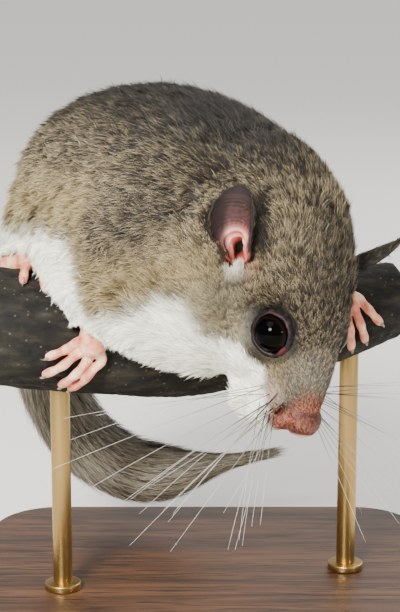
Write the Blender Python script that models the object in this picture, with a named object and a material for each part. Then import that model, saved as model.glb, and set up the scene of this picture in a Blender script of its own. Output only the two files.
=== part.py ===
# Edible dormouse, life size, crouched over a cut length of branch with its head hanging in
# front of it, on a display stand. Sizes are in millimetres and go to metres when a mesh is made.
# +Z is up and the origin is the centre of the stand's underside.
# Places on the body are (forward, left, up) from the middle between the eyes.
# Places on the head are the same along the skull's own axes.
import math
import random

import bmesh
import bpy
from mathutils import Vector
from mathutils.bvhtree import BVHTree

MM = 0.001
GAP = 0.3                       # clearance between pieces that touch

STAND_LENGTH = 108.0
STAND_DEPTH = 108.0
STAND_THICK = 6.0
STAND_CORNER = 16.0
STAND_BEVEL = 1.2
STAND_CENTRE_Y = 0.0
ROD_WIDTH = 4.4
ROD_SEAT = 1.6                  # how far a rod enters the branch
ROD_PLACES = (0.22, 0.88)       # along the branch, as a share of its length

EYES_MIDDLE = Vector((20.0, -30.0, 71.0))
BODY_HEADING = -43.0
HEAD_HEADING = -59.5
HEAD_PITCH = -56.7
HEAD_ROLL = -19.5

# Branch: x, y, z of its axis from the middle between the eyes, then its radius.
BRANCH_AXIS = (
    (-75.0, 24.1, -2.1, 13.6),
    (-45.0, 25.4, -5.4, 13.1),
    (-20.0, 30.1, -7.4, 12.4),
    (5.0, 35.8, -4.6, 10.4),
    (25.0, 41.0, 0.5, 8.2),
)
BRANCH_SIDES = 17
BRANCH_RINGS = 12
BARK_SWELL = 0.035              # share of the radius that knots and furrows add or take

# Skull: forward, top, bottom, half width.
SKULL = (
    (18.4, -5.8, -8.0, 1.4),
    (17.6, -4.4, -9.4, 3.2),
    (16.0, -2.8, -11.6, 5.0),
    (12.5, -0.4, -14.8, 6.8),
    (8.0, 4.0, -17.0, 8.6),
    (3.0, 7.4, -18.0, 9.9),
    (-3.0, 9.8, -18.4, 11.8),
    (-9.0, 11.2, -18.4, 14.2),
    (-16.0, 11.2, -18.0, 16.0),
    (-23.0, 9.6, -16.0, 16.0),
    (-28.0, 5.0, -10.0, 10.0),
)
# Balls of flesh on the skull: forward, left, up, then their three radii. Sides repeat mirrored.
MUZZLE_BALLS = (
    (17.0, 1.3, -6.6, 1.7, 1.7, 1.9),
    (12.0, 4.0, -9.2, 5.4, 4.0, 4.6),
    (7.0, 5.6, -14.2, 6.0, 3.8, 3.6),
    (11.5, 1.5, -14.2, 4.4, 3.4, 2.6),
    (-4.0, 7.6, -10.0, 10.0, 6.0, 8.0),
)
# Trunk: forward, left, up of its middle, half width, rise, drop.
TRUNK = (
    (-4.0, -2.0, 14.0, 6.0, 8.0, 8.0),
    (-9.0, -3.0, 14.0, 15.0, 16.0, 15.0),
    (-17.0, -4.0, 15.0, 21.0, 22.0, 21.0),
    (-28.0, 0.0, 20.0, 26.0, 26.0, 23.0),
    (-42.0, 5.0, 24.0, 29.0, 25.0, 20.0),
    (-57.0, 9.0, 25.0, 29.0, 23.5, 19.0),
    (-70.0, 11.5, 23.5, 25.0, 20.0, 17.0),
    (-80.0, 12.5, 20.5, 17.0, 13.0, 12.0),
    (-85.0, 13.0, 19.0, 7.0, 5.0, 5.0),
)
# Tubes of flesh: forward, left, up, radius.
NECK = ((-4.0, 0.0, 6.0, 14.0), (-8.0, 2.5, 17.0, 16.0), (-15.0, 2.5, 24.0, 18.0), (-28.0, 3.0, 26.0, 21.0))
BREAST = ((-37.0, -20.5, 10.0, 11.0), (-29.0, -16.5, 3.0, 11.5), (-19.0, -9.0, 0.5, 12.0))
UPPER_ARM_RIGHT = ((-24.0, -14.0, 22.0, 11.0), (-38.0, -20.0, 18.0, 11.0), (-50.0, -21.0, 16.0, 8.0))
FOREARM_RIGHT = ((-50.0, -21.0, 16.0, 7.4), (-46.5, -23.5, 9.0, 5.4), (-42.5, -24.5, 1.8, 3.3))
UPPER_ARM_LEFT = ((-22.0, 12.0, 20.0, 11.0), (-30.0, 24.0, 18.0, 9.5), (-36.0, 31.0, 15.0, 7.0))
FOREARM_LEFT = ((-36.0, 31.0, 15.0, 7.0), (-26.0, 30.0, 10.0, 5.2), (-14.8, 25.3, 6.8, 3.3))
THIGH_RIGHT = ((-72.0, 0.0, 22.0, 12.0), (-63.0, -10.0, 19.0, 13.0), (-53.0, -14.0, 14.0, 9.0))
SHANK_RIGHT = ((-53.0, -14.0, 14.0, 8.0), (-63.0, -16.5, 12.0, 6.0), (-74.0, -19.0, 8.4, 3.6))
THIGH_LEFT = ((-72.0, 24.0, 22.0, 12.0), (-60.0, 32.0, 18.0, 13.0), (-48.0, 33.0, 13.0, 9.0))
SHANK_LEFT = ((-48.0, 33.0, 13.0, 8.0), (-48.0, 26.0, 9.0, 6.0), (-46.2, 15.1, 1.0, 3.6))

EYE_PLACE = (0.0, 8.9, 0.0)
EYE_RADIUS = 4.0
EYE_AXIS = (0.22, 0.95, 0.18)
LID_OUT = 1.7                   # from the eye's centre to the ring of the lids
LID_RADIUS = 4.3
LID_THICK = 0.7

# Each ear: the way it stands and the way its cup faces, along the skull's axes.
EAR_ROOT = (-14.2, 16.4, 2.4)
EAR_SUNK = 1.2                  # from the root's middle back to the ear's back wall
EAR_LENGTH = 16.5
EAR_THICK = 1.0
EAR_RIGHT = ((-12.5, -5.5, 9.8), (0.47, -0.84, 0.27))
EAR_LEFT = ((0.2, 9.3, 11.2), (0.8, 0.55, -0.2))
# Up the ear: share of its length, radius of the curl, half angle of the curl.
EAR_CURL = (
    (-0.12, 3.2, 152.0),
    (0.06, 3.6, 145.0),
    (0.22, 4.6, 122.0),
    (0.42, 5.4, 98.0),
    (0.62, 5.8, 82.0),
    (0.80, 5.4, 72.0),
    (0.92, 4.2, 66.0),
    (0.985, 2.8, 62.0),
    (1.01, 1.2, 60.0),
)

# Hands and feet lie on the branch: each place is x from the middle between the eyes, the angle
# round the branch from its top toward the front, and the height above the bark.
HAND_RIGHT = {
    "wrist": (-45.6, 62.0, 3.0, 3.3),
    "palm": (-46.0, 84.0, 2.2, 3.2),
    "knuckles": ((-48.8, 84.0), (-48.6, 93.0), (-46.8, 99.0), (-44.2, 98.0)),
    "tips": ((-55.2, 98.0), (-54.6, 119.0), (-51.6, 134.0), (-47.6, 134.0)),
    "digit": 1.45,
}
HAND_LEFT = {
    "wrist": (6.4, 34.0, 3.2, 3.0),
    "palm": (9.0, 50.0, 2.2, 2.8),
    "knuckles": ((7.0, 66.0), (9.0, 70.0), (11.0, 68.0), (12.6, 60.0)),
    "tips": ((6.6, 112.0), (9.2, 120.0), (12.4, 116.0), (16.2, 98.0)),
    "digit": 1.2,
}
FOOT_RIGHT = {
    "wrist": (-67.0, -48.0, 3.0, 3.4),
    "palm": (-61.0, -20.0, 2.3, 3.1),
    "knuckles": ((-61.5, 2.0), (-59.0, 4.0), (-56.6, 2.0), (-54.8, -4.0), (-54.0, -14.0)),
    "tips": ((-61.5, 30.0), (-56.5, 38.0), (-52.5, 34.0), (-49.0, 22.0), (-47.4, 0.0)),
    "digit": 1.25,
}
FOOT_LEFT = {
    "wrist": (-23.5, -60.0, 3.0, 3.4),
    "palm": (-18.0, -28.0, 2.3, 3.1),
    "knuckles": ((-18.5, -2.0), (-16.0, 0.0), (-13.6, -2.0), (-11.8, -10.0), (-11.0, -22.0)),
    "tips": ((-18.5, 30.0), (-14.5, 38.0), (-10.0, 34.0), (-6.5, 20.0), (-5.0, -8.0)),
    "digit": 1.25,
}
CLAW_LENGTH = 2.4
CLAW_RADIUS = 0.55
GRIP_SKIN = 0.35                # how far palms and digits press into the bark before the cut

# Tail: x, y, z from the middle between the eyes, radius out to the tips of its coat.
TAIL = (
    (-50.0, 55.0, 14.0, 6.0),
    (-58.0, 66.0, 8.0, 8.0),
    (-61.0, 73.0, -8.0, 10.5),
    (-60.0, 75.0, -26.0, 12.0),
    (-53.0, 73.0, -41.0, 12.0),
    (-42.0, 69.0, -49.0, 11.5),
    (-30.0, 65.0, -50.0, 9.5),
    (-18.0, 62.0, -47.0, 3.0),
)
TAIL_CUTS = (0.37, 0.67)        # where its lengths part, as shares of the way along
TAIL_CORE = 0.46                # radius of the core as a share of the coat's
TAIL_FLAT = 0.8                 # depth of the tail as a share of its width
# The tail's coat: rings of flat tapered locks that rise from the core, bend and lie back along it.
LOCK_SEED = 7
LOCK_RINGS = 7
LOCKS_AROUND = 6
LOCK_LAST = 0.8                 # where the last ring of roots sits, as a share of the tail
LOCK_LENGTH = 0.25              # of a lock, as a share of the tail
LOCK_WIDTH = 1.08               # widest part of a lock, as a share of the coat's radius
LOCK_THICK = 0.3                # its thickness there, as such a share
LOCK_SUNK = 0.2                 # how far out its root's middle sits in the core, as such a share
LOCK_REACH = 0.97               # how far out its tip sits, as such a share
# Along a lock: share of its length, share of its width.
LOCK_SHAPE = ((0.0, 0.55), (0.36, 1.0), (0.72, 0.66), (1.0, 0.05))
LOCK_STRAY = 0.14               # how far place, length and width differ from lock to lock

SKIN_VOXEL = 0.7
HAND_VOXEL = 0.4
BODY_FACES = 2050
HEAD_FACES = 4000
HAND_FACES = 300
ROOM_FACES = 120                # of the room that the body leaves round a hand or foot
FLAT_ANGLE = 1.5
LIMB_ROOM = 1.4                 # how far a limb's own piece reaches past its flesh into the body
WRIST_ROOM = 1.6                # how far the cut at a wrist reaches past the limb's own radius
MOUTH_WIDTH = 0.42


def vec(values):
    return Vector(values[:3])


def axes(heading, pitch=0.0, roll=0.0):
    # Forward, left and up axes of a piece that faces a heading, then pitches and rolls.
    turn = math.radians(heading)
    tip = math.radians(pitch)
    lean = math.radians(roll)
    forward = Vector((math.cos(tip) * math.cos(turn), math.cos(tip) * math.sin(turn), math.sin(tip)))
    level = Vector((-math.sin(turn), math.cos(turn), 0.0))
    over = forward.cross(level)
    left = level * math.cos(lean) + over * math.sin(lean)
    return forward, left, forward.cross(left)


BODY_AXES = axes(BODY_HEADING)
SKULL_AXES = axes(HEAD_HEADING, HEAD_PITCH, HEAD_ROLL)


def place(frame, forward, left, up):
    return EYES_MIDDLE + frame[0] * forward + frame[1] * left + frame[2] * up


def on_body(forward, left, up):
    return place(BODY_AXES, forward, left, up)


def on_skull(forward, left, up):
    return place(SKULL_AXES, forward, left, up)


def eased(rows, steps):
    # Rows of numbers along a smooth curve that passes through the given rows.
    rows = [tuple(row) for row in rows]
    made = []
    for index in range(len(rows) - 1):
        before = rows[max(index - 1, 0)]
        start = rows[index]
        end = rows[index + 1]
        after = rows[min(index + 2, len(rows) - 1)]
        for step in range(steps):
            t = step / steps
            made.append(tuple(
                0.5 * (2 * b + (c - a) * t + (2 * a - 5 * b + 4 * c - d) * t * t
                       + (3 * b - a - 3 * c + d) * t ** 3)
                for a, b, c, d in zip(before, start, end, after)))
    made.append(rows[-1])
    return made


def solid(name, points, faces):
    # An object from points in millimetres.
    mesh = bpy.data.meshes.new(name)
    mesh.from_pydata([tuple(point * MM for point in p) for p in points], [], faces)
    mesh.update()
    made = bpy.data.objects.new(name, mesh)
    bpy.context.scene.collection.objects.link(made)
    return made


def bridged(name, rings):
    # A closed skin over rings of points, with a fan at each end.
    sides = len(rings[0])
    points = [p for ring in rings for p in ring]
    faces = []
    for row in range(len(rings) - 1):
        for side in range(sides):
            a = row * sides + side
            b = row * sides + (side + 1) % sides
            faces.append((a, b, b + sides, a + sides))
    for row, turn in ((0, -1), (len(rings) - 1, 1)):
        hub = len(points)
        points.append(sum((Vector(p) for p in rings[row]), Vector()) / sides)
        for side in range(sides):
            pair = (row * sides + side, row * sides + (side + 1) % sides)[::turn]
            faces.append((pair[0], pair[1], hub))
    made = solid(name, points, faces)
    face_out(made)
    return made


def face_out(made):
    shape = bmesh.new()
    shape.from_mesh(made.data)
    bmesh.ops.recalc_face_normals(shape, faces=shape.faces)
    shape.to_mesh(made.data)
    shape.free()


def oval(centre, across, upward, half_width, rise, drop, sides):
    ring = []
    for side in range(sides):
        angle = 2 * math.pi * side / sides
        lift = math.sin(angle) * (rise if math.sin(angle) > 0 else drop)
        ring.append(centre + across * (half_width * math.cos(angle)) + upward * lift)
    return ring


def tube(name, rows, sides=14, steps=5, grow=0.0, lifts=(0.92, 0.7, 0.38)):
    # A round piece along a smooth curve, with its radius given at each place and round ends.
    rows = eased(rows, steps)
    centres = [vec(row) for row in rows]
    radii = [row[3] + grow for row in rows]
    first = (centres[1] - centres[0]).normalized()
    last = (centres[-1] - centres[-2]).normalized()
    before = [(centres[0] - first * radii[0] * a, radii[0] * math.sqrt(1 - a * a), first) for a in lifts]
    after = [(centres[-1] + last * radii[-1] * a, radii[-1] * math.sqrt(1 - a * a), last) for a in lifts[::-1]]
    spine = []
    for index, centre in enumerate(centres):
        ahead = centres[min(index + 1, len(centres) - 1)] - centres[max(index - 1, 0)]
        spine.append((centre, radii[index], ahead.normalized()))
    across = first.orthogonal().normalized()
    rings = []
    for centre, radius, ahead in before + spine + after:
        across = (across - ahead * across.dot(ahead)).normalized()
        rings.append(oval(centre, across, ahead.cross(across), radius, radius, radius, sides))
    return bridged(name, rings)


def flesh_tube(name, rows):
    return tube(name, [tuple(on_body(*row[:3])) + (row[3],) for row in rows])


def limb_room(rows, grow):
    # The part of the body that belongs to a limb: a coarse tube a little wider than its flesh.
    rows = [tuple(on_body(*row[:3])) + (row[3],) for row in rows]
    return tube("room", rows, 8, 1, LIMB_ROOM + grow, (0.6,))


def skull_loft(name):
    rings = []
    for forward, top, bottom, half_width in eased(SKULL, 4):
        middle = (top + bottom) / 2
        reach = max((top - bottom) / 2, 0.1)
        centre = on_skull(forward, 0, middle)
        rings.append(oval(centre, SKULL_AXES[1], SKULL_AXES[2], max(half_width, 0.1), reach, reach, 28))
    return bridged(name, rings)


def trunk_loft(name):
    rows = eased(TRUNK, 5)
    rings = []
    for index, row in enumerate(rows):
        ahead = on_body(*rows[max(index - 1, 0)][:3]) - on_body(*rows[min(index + 1, len(rows) - 1)][:3])
        across = Vector((0, 0, 1)).cross(ahead).normalized()
        upward = ahead.cross(across).normalized()
        sizes = [max(value, 0.2) for value in row[3:]]
        rings.append(oval(on_body(*row[:3]), across, upward, *sizes, 32))
    return bridged(name, rings)


def ball(name, centre, radii, frame, rows=10, sides=20):
    # An egg with its own radii along a frame's axes.
    rings = []
    for row in range(1, rows):
        angle = math.pi * row / rows
        along = centre + frame[0] * (radii[0] * math.cos(angle))
        rings.append(oval(along, frame[1], frame[2], radii[1] * math.sin(angle),
                          radii[2] * math.sin(angle), radii[2] * math.sin(angle), sides))
    return bridged(name, rings)


def remove(things):
    for thing in list(things):
        bpy.data.objects.remove(thing, do_unlink=True)


def joined(name, things):
    # One mesh that holds the meshes of several objects, which are removed.
    shape = bmesh.new()
    for thing in things:
        shape.from_mesh(thing.data)
    remove(things)
    made = solid(name, [], [])
    shape.to_mesh(made.data)
    shape.free()
    return made


def applied(made):
    # Puts the object's modifiers into its mesh.
    graph = bpy.context.evaluated_depsgraph_get()
    mesh = bpy.data.meshes.new_from_object(made.evaluated_get(graph), depsgraph=graph)
    made.modifiers.clear()
    made.data = mesh
    return made


def fused(name, things, voxel, passes, faces):
    # One skin round overlapping pieces, smoothed, then thinned to about so many triangles.
    made = joined(name, things)
    grid = made.modifiers.new("grid", "REMESH")
    grid.mode = "VOXEL"
    grid.voxel_size = voxel * MM
    soften = made.modifiers.new("soften", "SMOOTH")
    soften.factor = 0.5
    soften.iterations = passes
    applied(made)
    largest_only(made)
    thin = made.modifiers.new("thin", "DECIMATE")
    thin.ratio = min(1.0, faces / (2.0 * len(made.data.polygons)))
    applied(made)
    return made


def largest_only(made):
    # Keeps the piece of the mesh that holds most volume.
    shape = bmesh.new()
    shape.from_mesh(made.data)
    left = set(shape.faces)
    groups = []
    while left:
        group = [left.pop()]
        for face in group:
            for edge in face.edges:
                for other in edge.link_faces:
                    if other in left:
                        left.remove(other)
                        group.append(other)
        groups.append(group)

    def volume(group):
        total = 0.0
        for face in group:
            points = [v.co for v in face.verts]
            for index in range(1, len(points) - 1):
                total += points[0].dot(points[index].cross(points[index + 1]))
        return total

    groups.sort(key=volume)
    spare = [face for group in groups[:-1] for face in group]
    bmesh.ops.delete(shape, geom=spare, context="FACES")
    shape.to_mesh(made.data)
    shape.free()


def copied(name, made):
    twin = bpy.data.objects.new(name, made.data.copy())
    bpy.context.scene.collection.objects.link(twin)
    return twin


def combined(made, tool, operation, solver="EXACT"):
    # One Boolean of two closed pieces, put into the first; the second is removed.
    tool.hide_render = True
    tool.display_type = "WIRE"
    step = made.modifiers.new("step", "BOOLEAN")
    step.operation = operation
    step.solver = solver
    step.object = tool
    applied(made)
    remove([tool])
    largest_only(made)
    return made


def united(made, things, solver="EXACT"):
    # One Boolean union of a piece with everything that grows on it.
    growth = bpy.data.collections.new("growth")
    bpy.context.scene.collection.children.link(growth)
    for thing in things:
        bpy.context.scene.collection.objects.unlink(thing)
        growth.objects.link(thing)
    step = made.modifiers.new("step", "BOOLEAN")
    step.operation = "UNION"
    step.solver = solver
    step.operand_type = "COLLECTION"
    step.collection = growth
    applied(made)
    remove(growth.objects)
    bpy.data.collections.remove(growth)
    largest_only(made)
    return made


def block(name, frame, low, high, grow=0.0):
    # A box along a frame's axes, between two corners given in that frame.
    corners = []
    for forward in (low[0] - grow, high[0] + grow):
        for left in (low[1] - grow, high[1] + grow):
            for up in (low[2] - grow, high[2] + grow):
                corners.append(place(frame, forward, left, up))
    faces = ((0, 1, 3, 2), (4, 6, 7, 5), (0, 4, 5, 1), (2, 3, 7, 6), (0, 2, 6, 4), (1, 5, 7, 3))
    made = solid(name, corners, faces)
    face_out(made)
    return made


def carved(name, rest, cutter, source=None):
    # Takes the part of the body inside a cutter out as its own piece, with a gap left round it.
    piece = combined(copied(name, source or rest), cutter(0.0), "INTERSECT", "MANIFOLD")
    combined(rest, cutter(GAP), "DIFFERENCE", "MANIFOLD")
    return piece


def grown(made, by=GAP):
    # A copy whose surface stands off the piece's own by a little.
    twin = copied("grown", made)
    mesh = twin.data
    normals = [v.normal.copy() for v in mesh.vertices]
    for v, normal in zip(mesh.vertices, normals):
        v.co += normal * by * MM
    return twin


def sliced(made, point, normal, shift):
    # Cuts a piece across and keeps the side that the normal points away from.
    shape = bmesh.new()
    shape.from_mesh(made.data)
    bmesh.ops.bisect_plane(shape, geom=shape.verts[:] + shape.edges[:] + shape.faces[:], dist=1e-7,
                           plane_co=(point + normal * shift) * MM, plane_no=normal, clear_outer=True)
    rim = [edge for edge in shape.edges if edge.is_boundary]
    bmesh.ops.edgenet_fill(shape, edges=rim)
    bmesh.ops.recalc_face_normals(shape, faces=shape.faces)
    bmesh.ops.triangulate(shape, faces=shape.faces)
    shape.to_mesh(made.data)
    shape.free()
    largest_only(made)
    return made


def branch_at(x):
    # The branch's axis and radius at a place along it, straight on past its ends.
    rows = eased(BRANCH_AXIS, 8)
    index = 0
    while index < len(rows) - 2 and rows[index + 1][0] < x:
        index += 1
    start, end = rows[index], rows[index + 1]
    share = (x - start[0]) / (end[0] - start[0])
    row = [a + (b - a) * share for a, b in zip(start, end)]
    return EYES_MIDDLE + vec(row), row[3]


def on_bark(x, angle, lift):
    # A point over the bark: place along the branch, degrees from its top toward the front, height.
    centre, radius = branch_at(x)
    along = (branch_at(x + 1)[0] - branch_at(x - 1)[0]).normalized()
    up = (Vector((0, 0, 1)) - along * along.z).normalized()
    turn = math.radians(angle)
    swell = 0.5 * math.sin(2 * turn + x / 9)
    swell += 0.3 * math.sin(3 * turn - x / 6 + 1)
    swell += 0.2 * math.sin(5 * turn + x / 4)
    reach = radius * (1 + BARK_SWELL * swell) + lift
    return centre + (up * math.cos(turn) + along.cross(up) * math.sin(turn)) * reach


def branch(name, grow=0.0):
    start = BRANCH_AXIS[0][0] - 10 * grow
    end = BRANCH_AXIS[-1][0] + 10 * grow
    rings = []
    for row in range(BRANCH_RINGS + 1):
        x = start + (end - start) * row / BRANCH_RINGS
        rings.append([on_bark(x, 360 * side / BRANCH_SIDES, grow) for side in range(BRANCH_SIDES)])
    return bridged(name, rings)


def hand(name, spec, faces, grow=0.0):
    # A palm with digits that wrap the branch, pressed a little into the bark.
    thick = spec["digit"]
    wrist = on_bark(*spec["wrist"][:3])
    palm = on_bark(*spec["palm"][:3])
    back = wrist + (wrist - palm).normalized() * 3
    parts = [tube("palm", (tuple(back) + (spec["wrist"][3],), tuple(wrist) + (spec["wrist"][3],),
                           tuple(palm) + (spec["palm"][3],)), grow=grow)]
    claws = []
    for knuckle, tip in zip(spec["knuckles"], spec["tips"]):
        sink = thick - GRIP_SKIN
        rows = [tuple(palm) + (thick * 1.3,)]
        for share, lift, size in ((0.0, 0.9, 1.2), (0.45, 0.9, 1.0), (0.8, 0.35, 0.95), (1.0, 0.0, 0.9)):
            x = knuckle[0] + (tip[0] - knuckle[0]) * share
            angle = knuckle[1] + (tip[1] - knuckle[1]) * share
            rows.append(tuple(on_bark(x, angle, sink + lift)) + (thick * size,))
        parts.append(tube("digit", rows, sides=10, steps=3, grow=grow))
        end = vec(rows[-1])
        way = (end - vec(rows[-3])).normalized()
        away = (end - branch_at(tip[0])[0]).normalized()
        root = end + away * 0.35
        middle = root + way * CLAW_LENGTH * 0.55 + away * 0.3
        tip = root + way * CLAW_LENGTH + away * 0.05
        claw = (
            tuple(root) + (CLAW_RADIUS,),
            tuple(middle) + (CLAW_RADIUS * 0.8,),
            tuple(tip) + (CLAW_RADIUS * 0.35,),
        )
        claws.append(tube("claw", claw, 5, 1, grow, (0.7,)))
    made = fused(name, parts, HAND_VOXEL, 3, faces)
    return united(made, claws)


def ear(name, side, stance):
    # A thin cup: a curl of skin that is nearly closed at its root and opens toward its tip.
    upward = sum((SKULL_AXES[i] * stance[0][i] for i in range(3)), Vector()).normalized()
    facing = sum((SKULL_AXES[i] * stance[1][i] for i in range(3)), Vector())
    facing = (facing - upward * facing.dot(upward)).normalized()
    across = upward.cross(facing)
    root = on_skull(EAR_ROOT[0], EAR_ROOT[1] * side, EAR_ROOT[2]) - facing * EAR_SUNK
    steps = 9
    rings = []
    for share, radius, spread in eased(EAR_CURL, 1):
        back = root + upward * EAR_LENGTH * share - facing * 1.6 * share * share
        thick = EAR_THICK * (1.0 - 0.35 * max(share, 0))
        thick = min(thick, radius * 0.7)
        ring = []
        for layer, turn in ((0.0, 1), (thick, -1)):
            for step in range(steps + 1):
                angle = math.radians(spread) * (2 * step / steps - 1) * turn
                curl = radius - layer
                inward = layer + curl * (1 - math.cos(angle))
                ring.append(back + facing * inward + across * curl * math.sin(angle))
        rings.append(ring)
    return bridged(name, rings)


def on_surface(tree, start, way):
    hit = tree.ray_cast(start * MM, way, 1.0)
    return hit[0] / MM


def mouth_groove(made):
    # The mouth's line: round the front of the muzzle and back along both cheeks.
    shape = bmesh.new()
    shape.from_mesh(made.data)
    tree = BVHTree.FromBMesh(shape)
    rows = []
    for step in range(17):
        turn = math.radians(-112 + 224 * step / 16)
        droop = 2.6 * (1 - math.cos(turn))
        way = SKULL_AXES[0] * math.cos(turn) + SKULL_AXES[1] * math.sin(turn)
        point = on_surface(tree, on_skull(7.5, 0.0, -10.8 - droop), way)
        rows.append(tuple(point) + (MOUTH_WIDTH,))
    rows.append(rows[-1])
    shape.free()
    return tube("groove", rows[:-1], sides=6, steps=1)


def eye_centre(side):
    return on_skull(EYE_PLACE[0], EYE_PLACE[1] * side, EYE_PLACE[2])


def eye(name, side, grow=0.0):
    radius = EYE_RADIUS + grow
    return ball(name, eye_centre(side), (radius, radius, radius), SKULL_AXES, 9, 16)


def lid(side):
    # A rounded ring of skin round the eye.
    out = SKULL_AXES[0] * EYE_AXIS[0] + SKULL_AXES[1] * EYE_AXIS[1] * side + SKULL_AXES[2] * EYE_AXIS[2]
    out = out.normalized()
    across = (SKULL_AXES[0] - out * out.dot(SKULL_AXES[0])).normalized()
    upward = out.cross(across)
    centre = eye_centre(side) + out * LID_OUT
    points = []
    sides, around = 6, 20
    for step in range(around):
        turn = 2 * math.pi * step / around
        arm = across * math.cos(turn) + upward * math.sin(turn)
        for corner in range(sides):
            tip = 2 * math.pi * corner / sides
            reach = LID_RADIUS + LID_THICK * math.cos(tip)
            points.append(centre + arm * reach + out * LID_THICK * math.sin(tip))
    faces = []
    for step in range(around):
        for corner in range(sides):
            a = step * sides + corner
            b = step * sides + (corner + 1) % sides
            c = (step + 1) % around * sides
            faces.append((a, b, c + (corner + 1) % sides, c + corner))
    made = solid("lid", points, faces)
    face_out(made)
    return made


def nostril(side):
    rows = ((19.5, 2.3, -6.6, 0.7), (17.6, 1.5, -6.4, 0.55), (16.2, 1.2, -6.2, 0.3))
    rows = [tuple(on_skull(row[0], row[1] * side, row[2])) + (row[3],) for row in rows]
    return tube("nostril", rows, sides=8, steps=2)


def flesh(faces):
    # The whole animal but for its ears, hands, feet and tail, as one skin.
    pieces = [skull_loft("skull"), trunk_loft("trunk")]
    for row in MUZZLE_BALLS:
        for side in (1, -1):
            pieces.append(ball("muzzle", on_skull(row[0], row[1] * side, row[2]), row[3:], SKULL_AXES))
    for rows in (NECK, BREAST, UPPER_ARM_RIGHT, FOREARM_RIGHT, UPPER_ARM_LEFT, FOREARM_LEFT,
                 THIGH_RIGHT, SHANK_RIGHT, THIGH_LEFT, SHANK_LEFT):
        pieces.append(flesh_tube("limb", rows))
    return fused("flesh", pieces, SKIN_VOXEL, 6, faces)


def tail_line():
    # Rows along the tail, each with its distance from the root as a share of the whole.
    rows = eased(TAIL, 10)
    gone = [0.0]
    for before, row in zip(rows, rows[1:]):
        gone.append(gone[-1] + (vec(row) - vec(before)).length)
    return rows, [value / gone[-1] for value in gone], gone[-1]


def tail_spot(share):
    # The tail's middle, the coat's radius, and the ways along, across and through it at a place.
    rows, gone, length = tail_line()
    index = 0
    while index < len(rows) - 2 and gone[index + 1] < share:
        index += 1
    part = (min(max(share, 0.0), 1.0) - gone[index]) / (gone[index + 1] - gone[index])
    row = [a + (b - a) * part for a, b in zip(rows[index], rows[index + 1])]
    ahead = (vec(rows[min(index + 2, len(rows) - 1)]) - vec(rows[max(index - 1, 0)])).normalized()
    beyond = ahead * (max(share - 1.0, 0.0) * length)
    across = (Vector((0, 1, 0)) - ahead * ahead.y).normalized()
    return EYES_MIDDLE + vec(row) + beyond, row[3], ahead, across, ahead.cross(across)


def lock(start, turn, length, width):
    # One lock: it leaves the core, swings out to the coat's reach and tapers to its tip.
    root = tail_spot(start)[1]
    points = []
    for share, size in LOCK_SHAPE:
        centre, radius, ahead, across, through = tail_spot(start + length * share)
        rise = LOCK_SUNK + (LOCK_REACH - LOCK_SUNK) * math.sin(share * math.pi / 2)
        reach = max(radius, root * (1 - share)) * rise
        out = across * math.cos(turn) + through * (math.sin(turn) * TAIL_FLAT)
        side = ahead.cross(out).normalized()
        half = side * (root * width * size / 2)
        rise = out.normalized() * (root * LOCK_THICK * max(size, 0.1) / 2)
        middle = centre + out * reach
        points.append((middle - half - rise, middle + half - rise, middle + rise))
    return bridged("lock", points)


def tail_whole(name):
    # The core with all its locks as one closed piece.
    rows = []
    for step in range(2 * len(TAIL) - 1):
        centre, radius = tail_spot(step / (2 * len(TAIL) - 2))[:2]
        rows.append(tuple(centre) + (radius * TAIL_CORE,))
    core = tube(name, rows, sides=9, steps=1, lifts=(0.7,))
    draw = random.Random(LOCK_SEED)
    locks = []
    for ring in range(LOCK_RINGS):
        start = LOCK_LAST * ring / (LOCK_RINGS - 1)
        for number in range(LOCKS_AROUND):
            turn = 2 * math.pi * (number + 0.5 * (ring % 2) + draw.uniform(-1, 1) * LOCK_STRAY) / LOCKS_AROUND
            length = LOCK_LENGTH * (1 + draw.uniform(-1, 1) * LOCK_STRAY)
            width = LOCK_WIDTH * (1 + draw.uniform(-1, 1) * LOCK_STRAY)
            root = max(start + draw.uniform(-1, 1) * LOCK_STRAY * LOCK_LENGTH / 2, 0.0)
            locks.append(lock(root, turn, length, width))
    return united(core, locks, "MANIFOLD")


def tail_lengths(whole):
    # Parts the tail across its own line, with a gap at each cut.
    lengths = []
    rest = whole
    for number, share in enumerate(TAIL_CUTS):
        spot = tail_spot(share)
        piece = copied("tail_" + str(number + 1), rest)
        sliced(piece, spot[0], spot[2], -GAP / 2)
        sliced(rest, spot[0], -spot[2], -GAP / 2)
        lengths.append(piece)
    rest.name = "tail_" + str(len(TAIL_CUTS) + 1)
    return lengths + [rest]


def plate(name):
    # The stand's base: a round-cornered board with its top edge eased.
    half = Vector((STAND_LENGTH / 2, STAND_DEPTH / 2))
    outline = []
    for corner, (sx, sy) in enumerate(((1, 1), (-1, 1), (-1, -1), (1, -1))):
        for step in range(7):
            turn = math.radians(90 * corner + 90 * step / 6)
            outline.append((sx * (half.x - STAND_CORNER) + STAND_CORNER * math.cos(turn),
                            sy * (half.y - STAND_CORNER) + STAND_CORNER * math.sin(turn)))
    rings = []
    for height, inset in ((0.0, 0.0), (STAND_THICK - STAND_BEVEL, 0.0), (STAND_THICK, STAND_BEVEL)):
        share = (half.x - inset) / half.x
        rings.append([Vector((x * share, STAND_CENTRE_Y + y * share, height)) for x, y in outline])
    return bridged(name, rings)


def rod_axis(share):
    start, end = BRANCH_AXIS[0][0], BRANCH_AXIS[-1][0]
    return branch_at(start + (end - start) * share)[0]


def rod_top(share):
    start, end = BRANCH_AXIS[0][0], BRANCH_AXIS[-1][0]
    return on_bark(start + (end - start) * share, 180, 0).z + ROD_SEAT


def upright(name, at, low, high, radius, sides=20):
    rings = []
    for height in (low, high):
        ring = []
        for side in range(sides):
            turn = 2 * math.pi * side / sides
            ring.append(Vector((at.x + radius * math.cos(turn), at.y + radius * math.sin(turn), height)))
        rings.append(ring)
    return bridged(name, rings)


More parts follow.
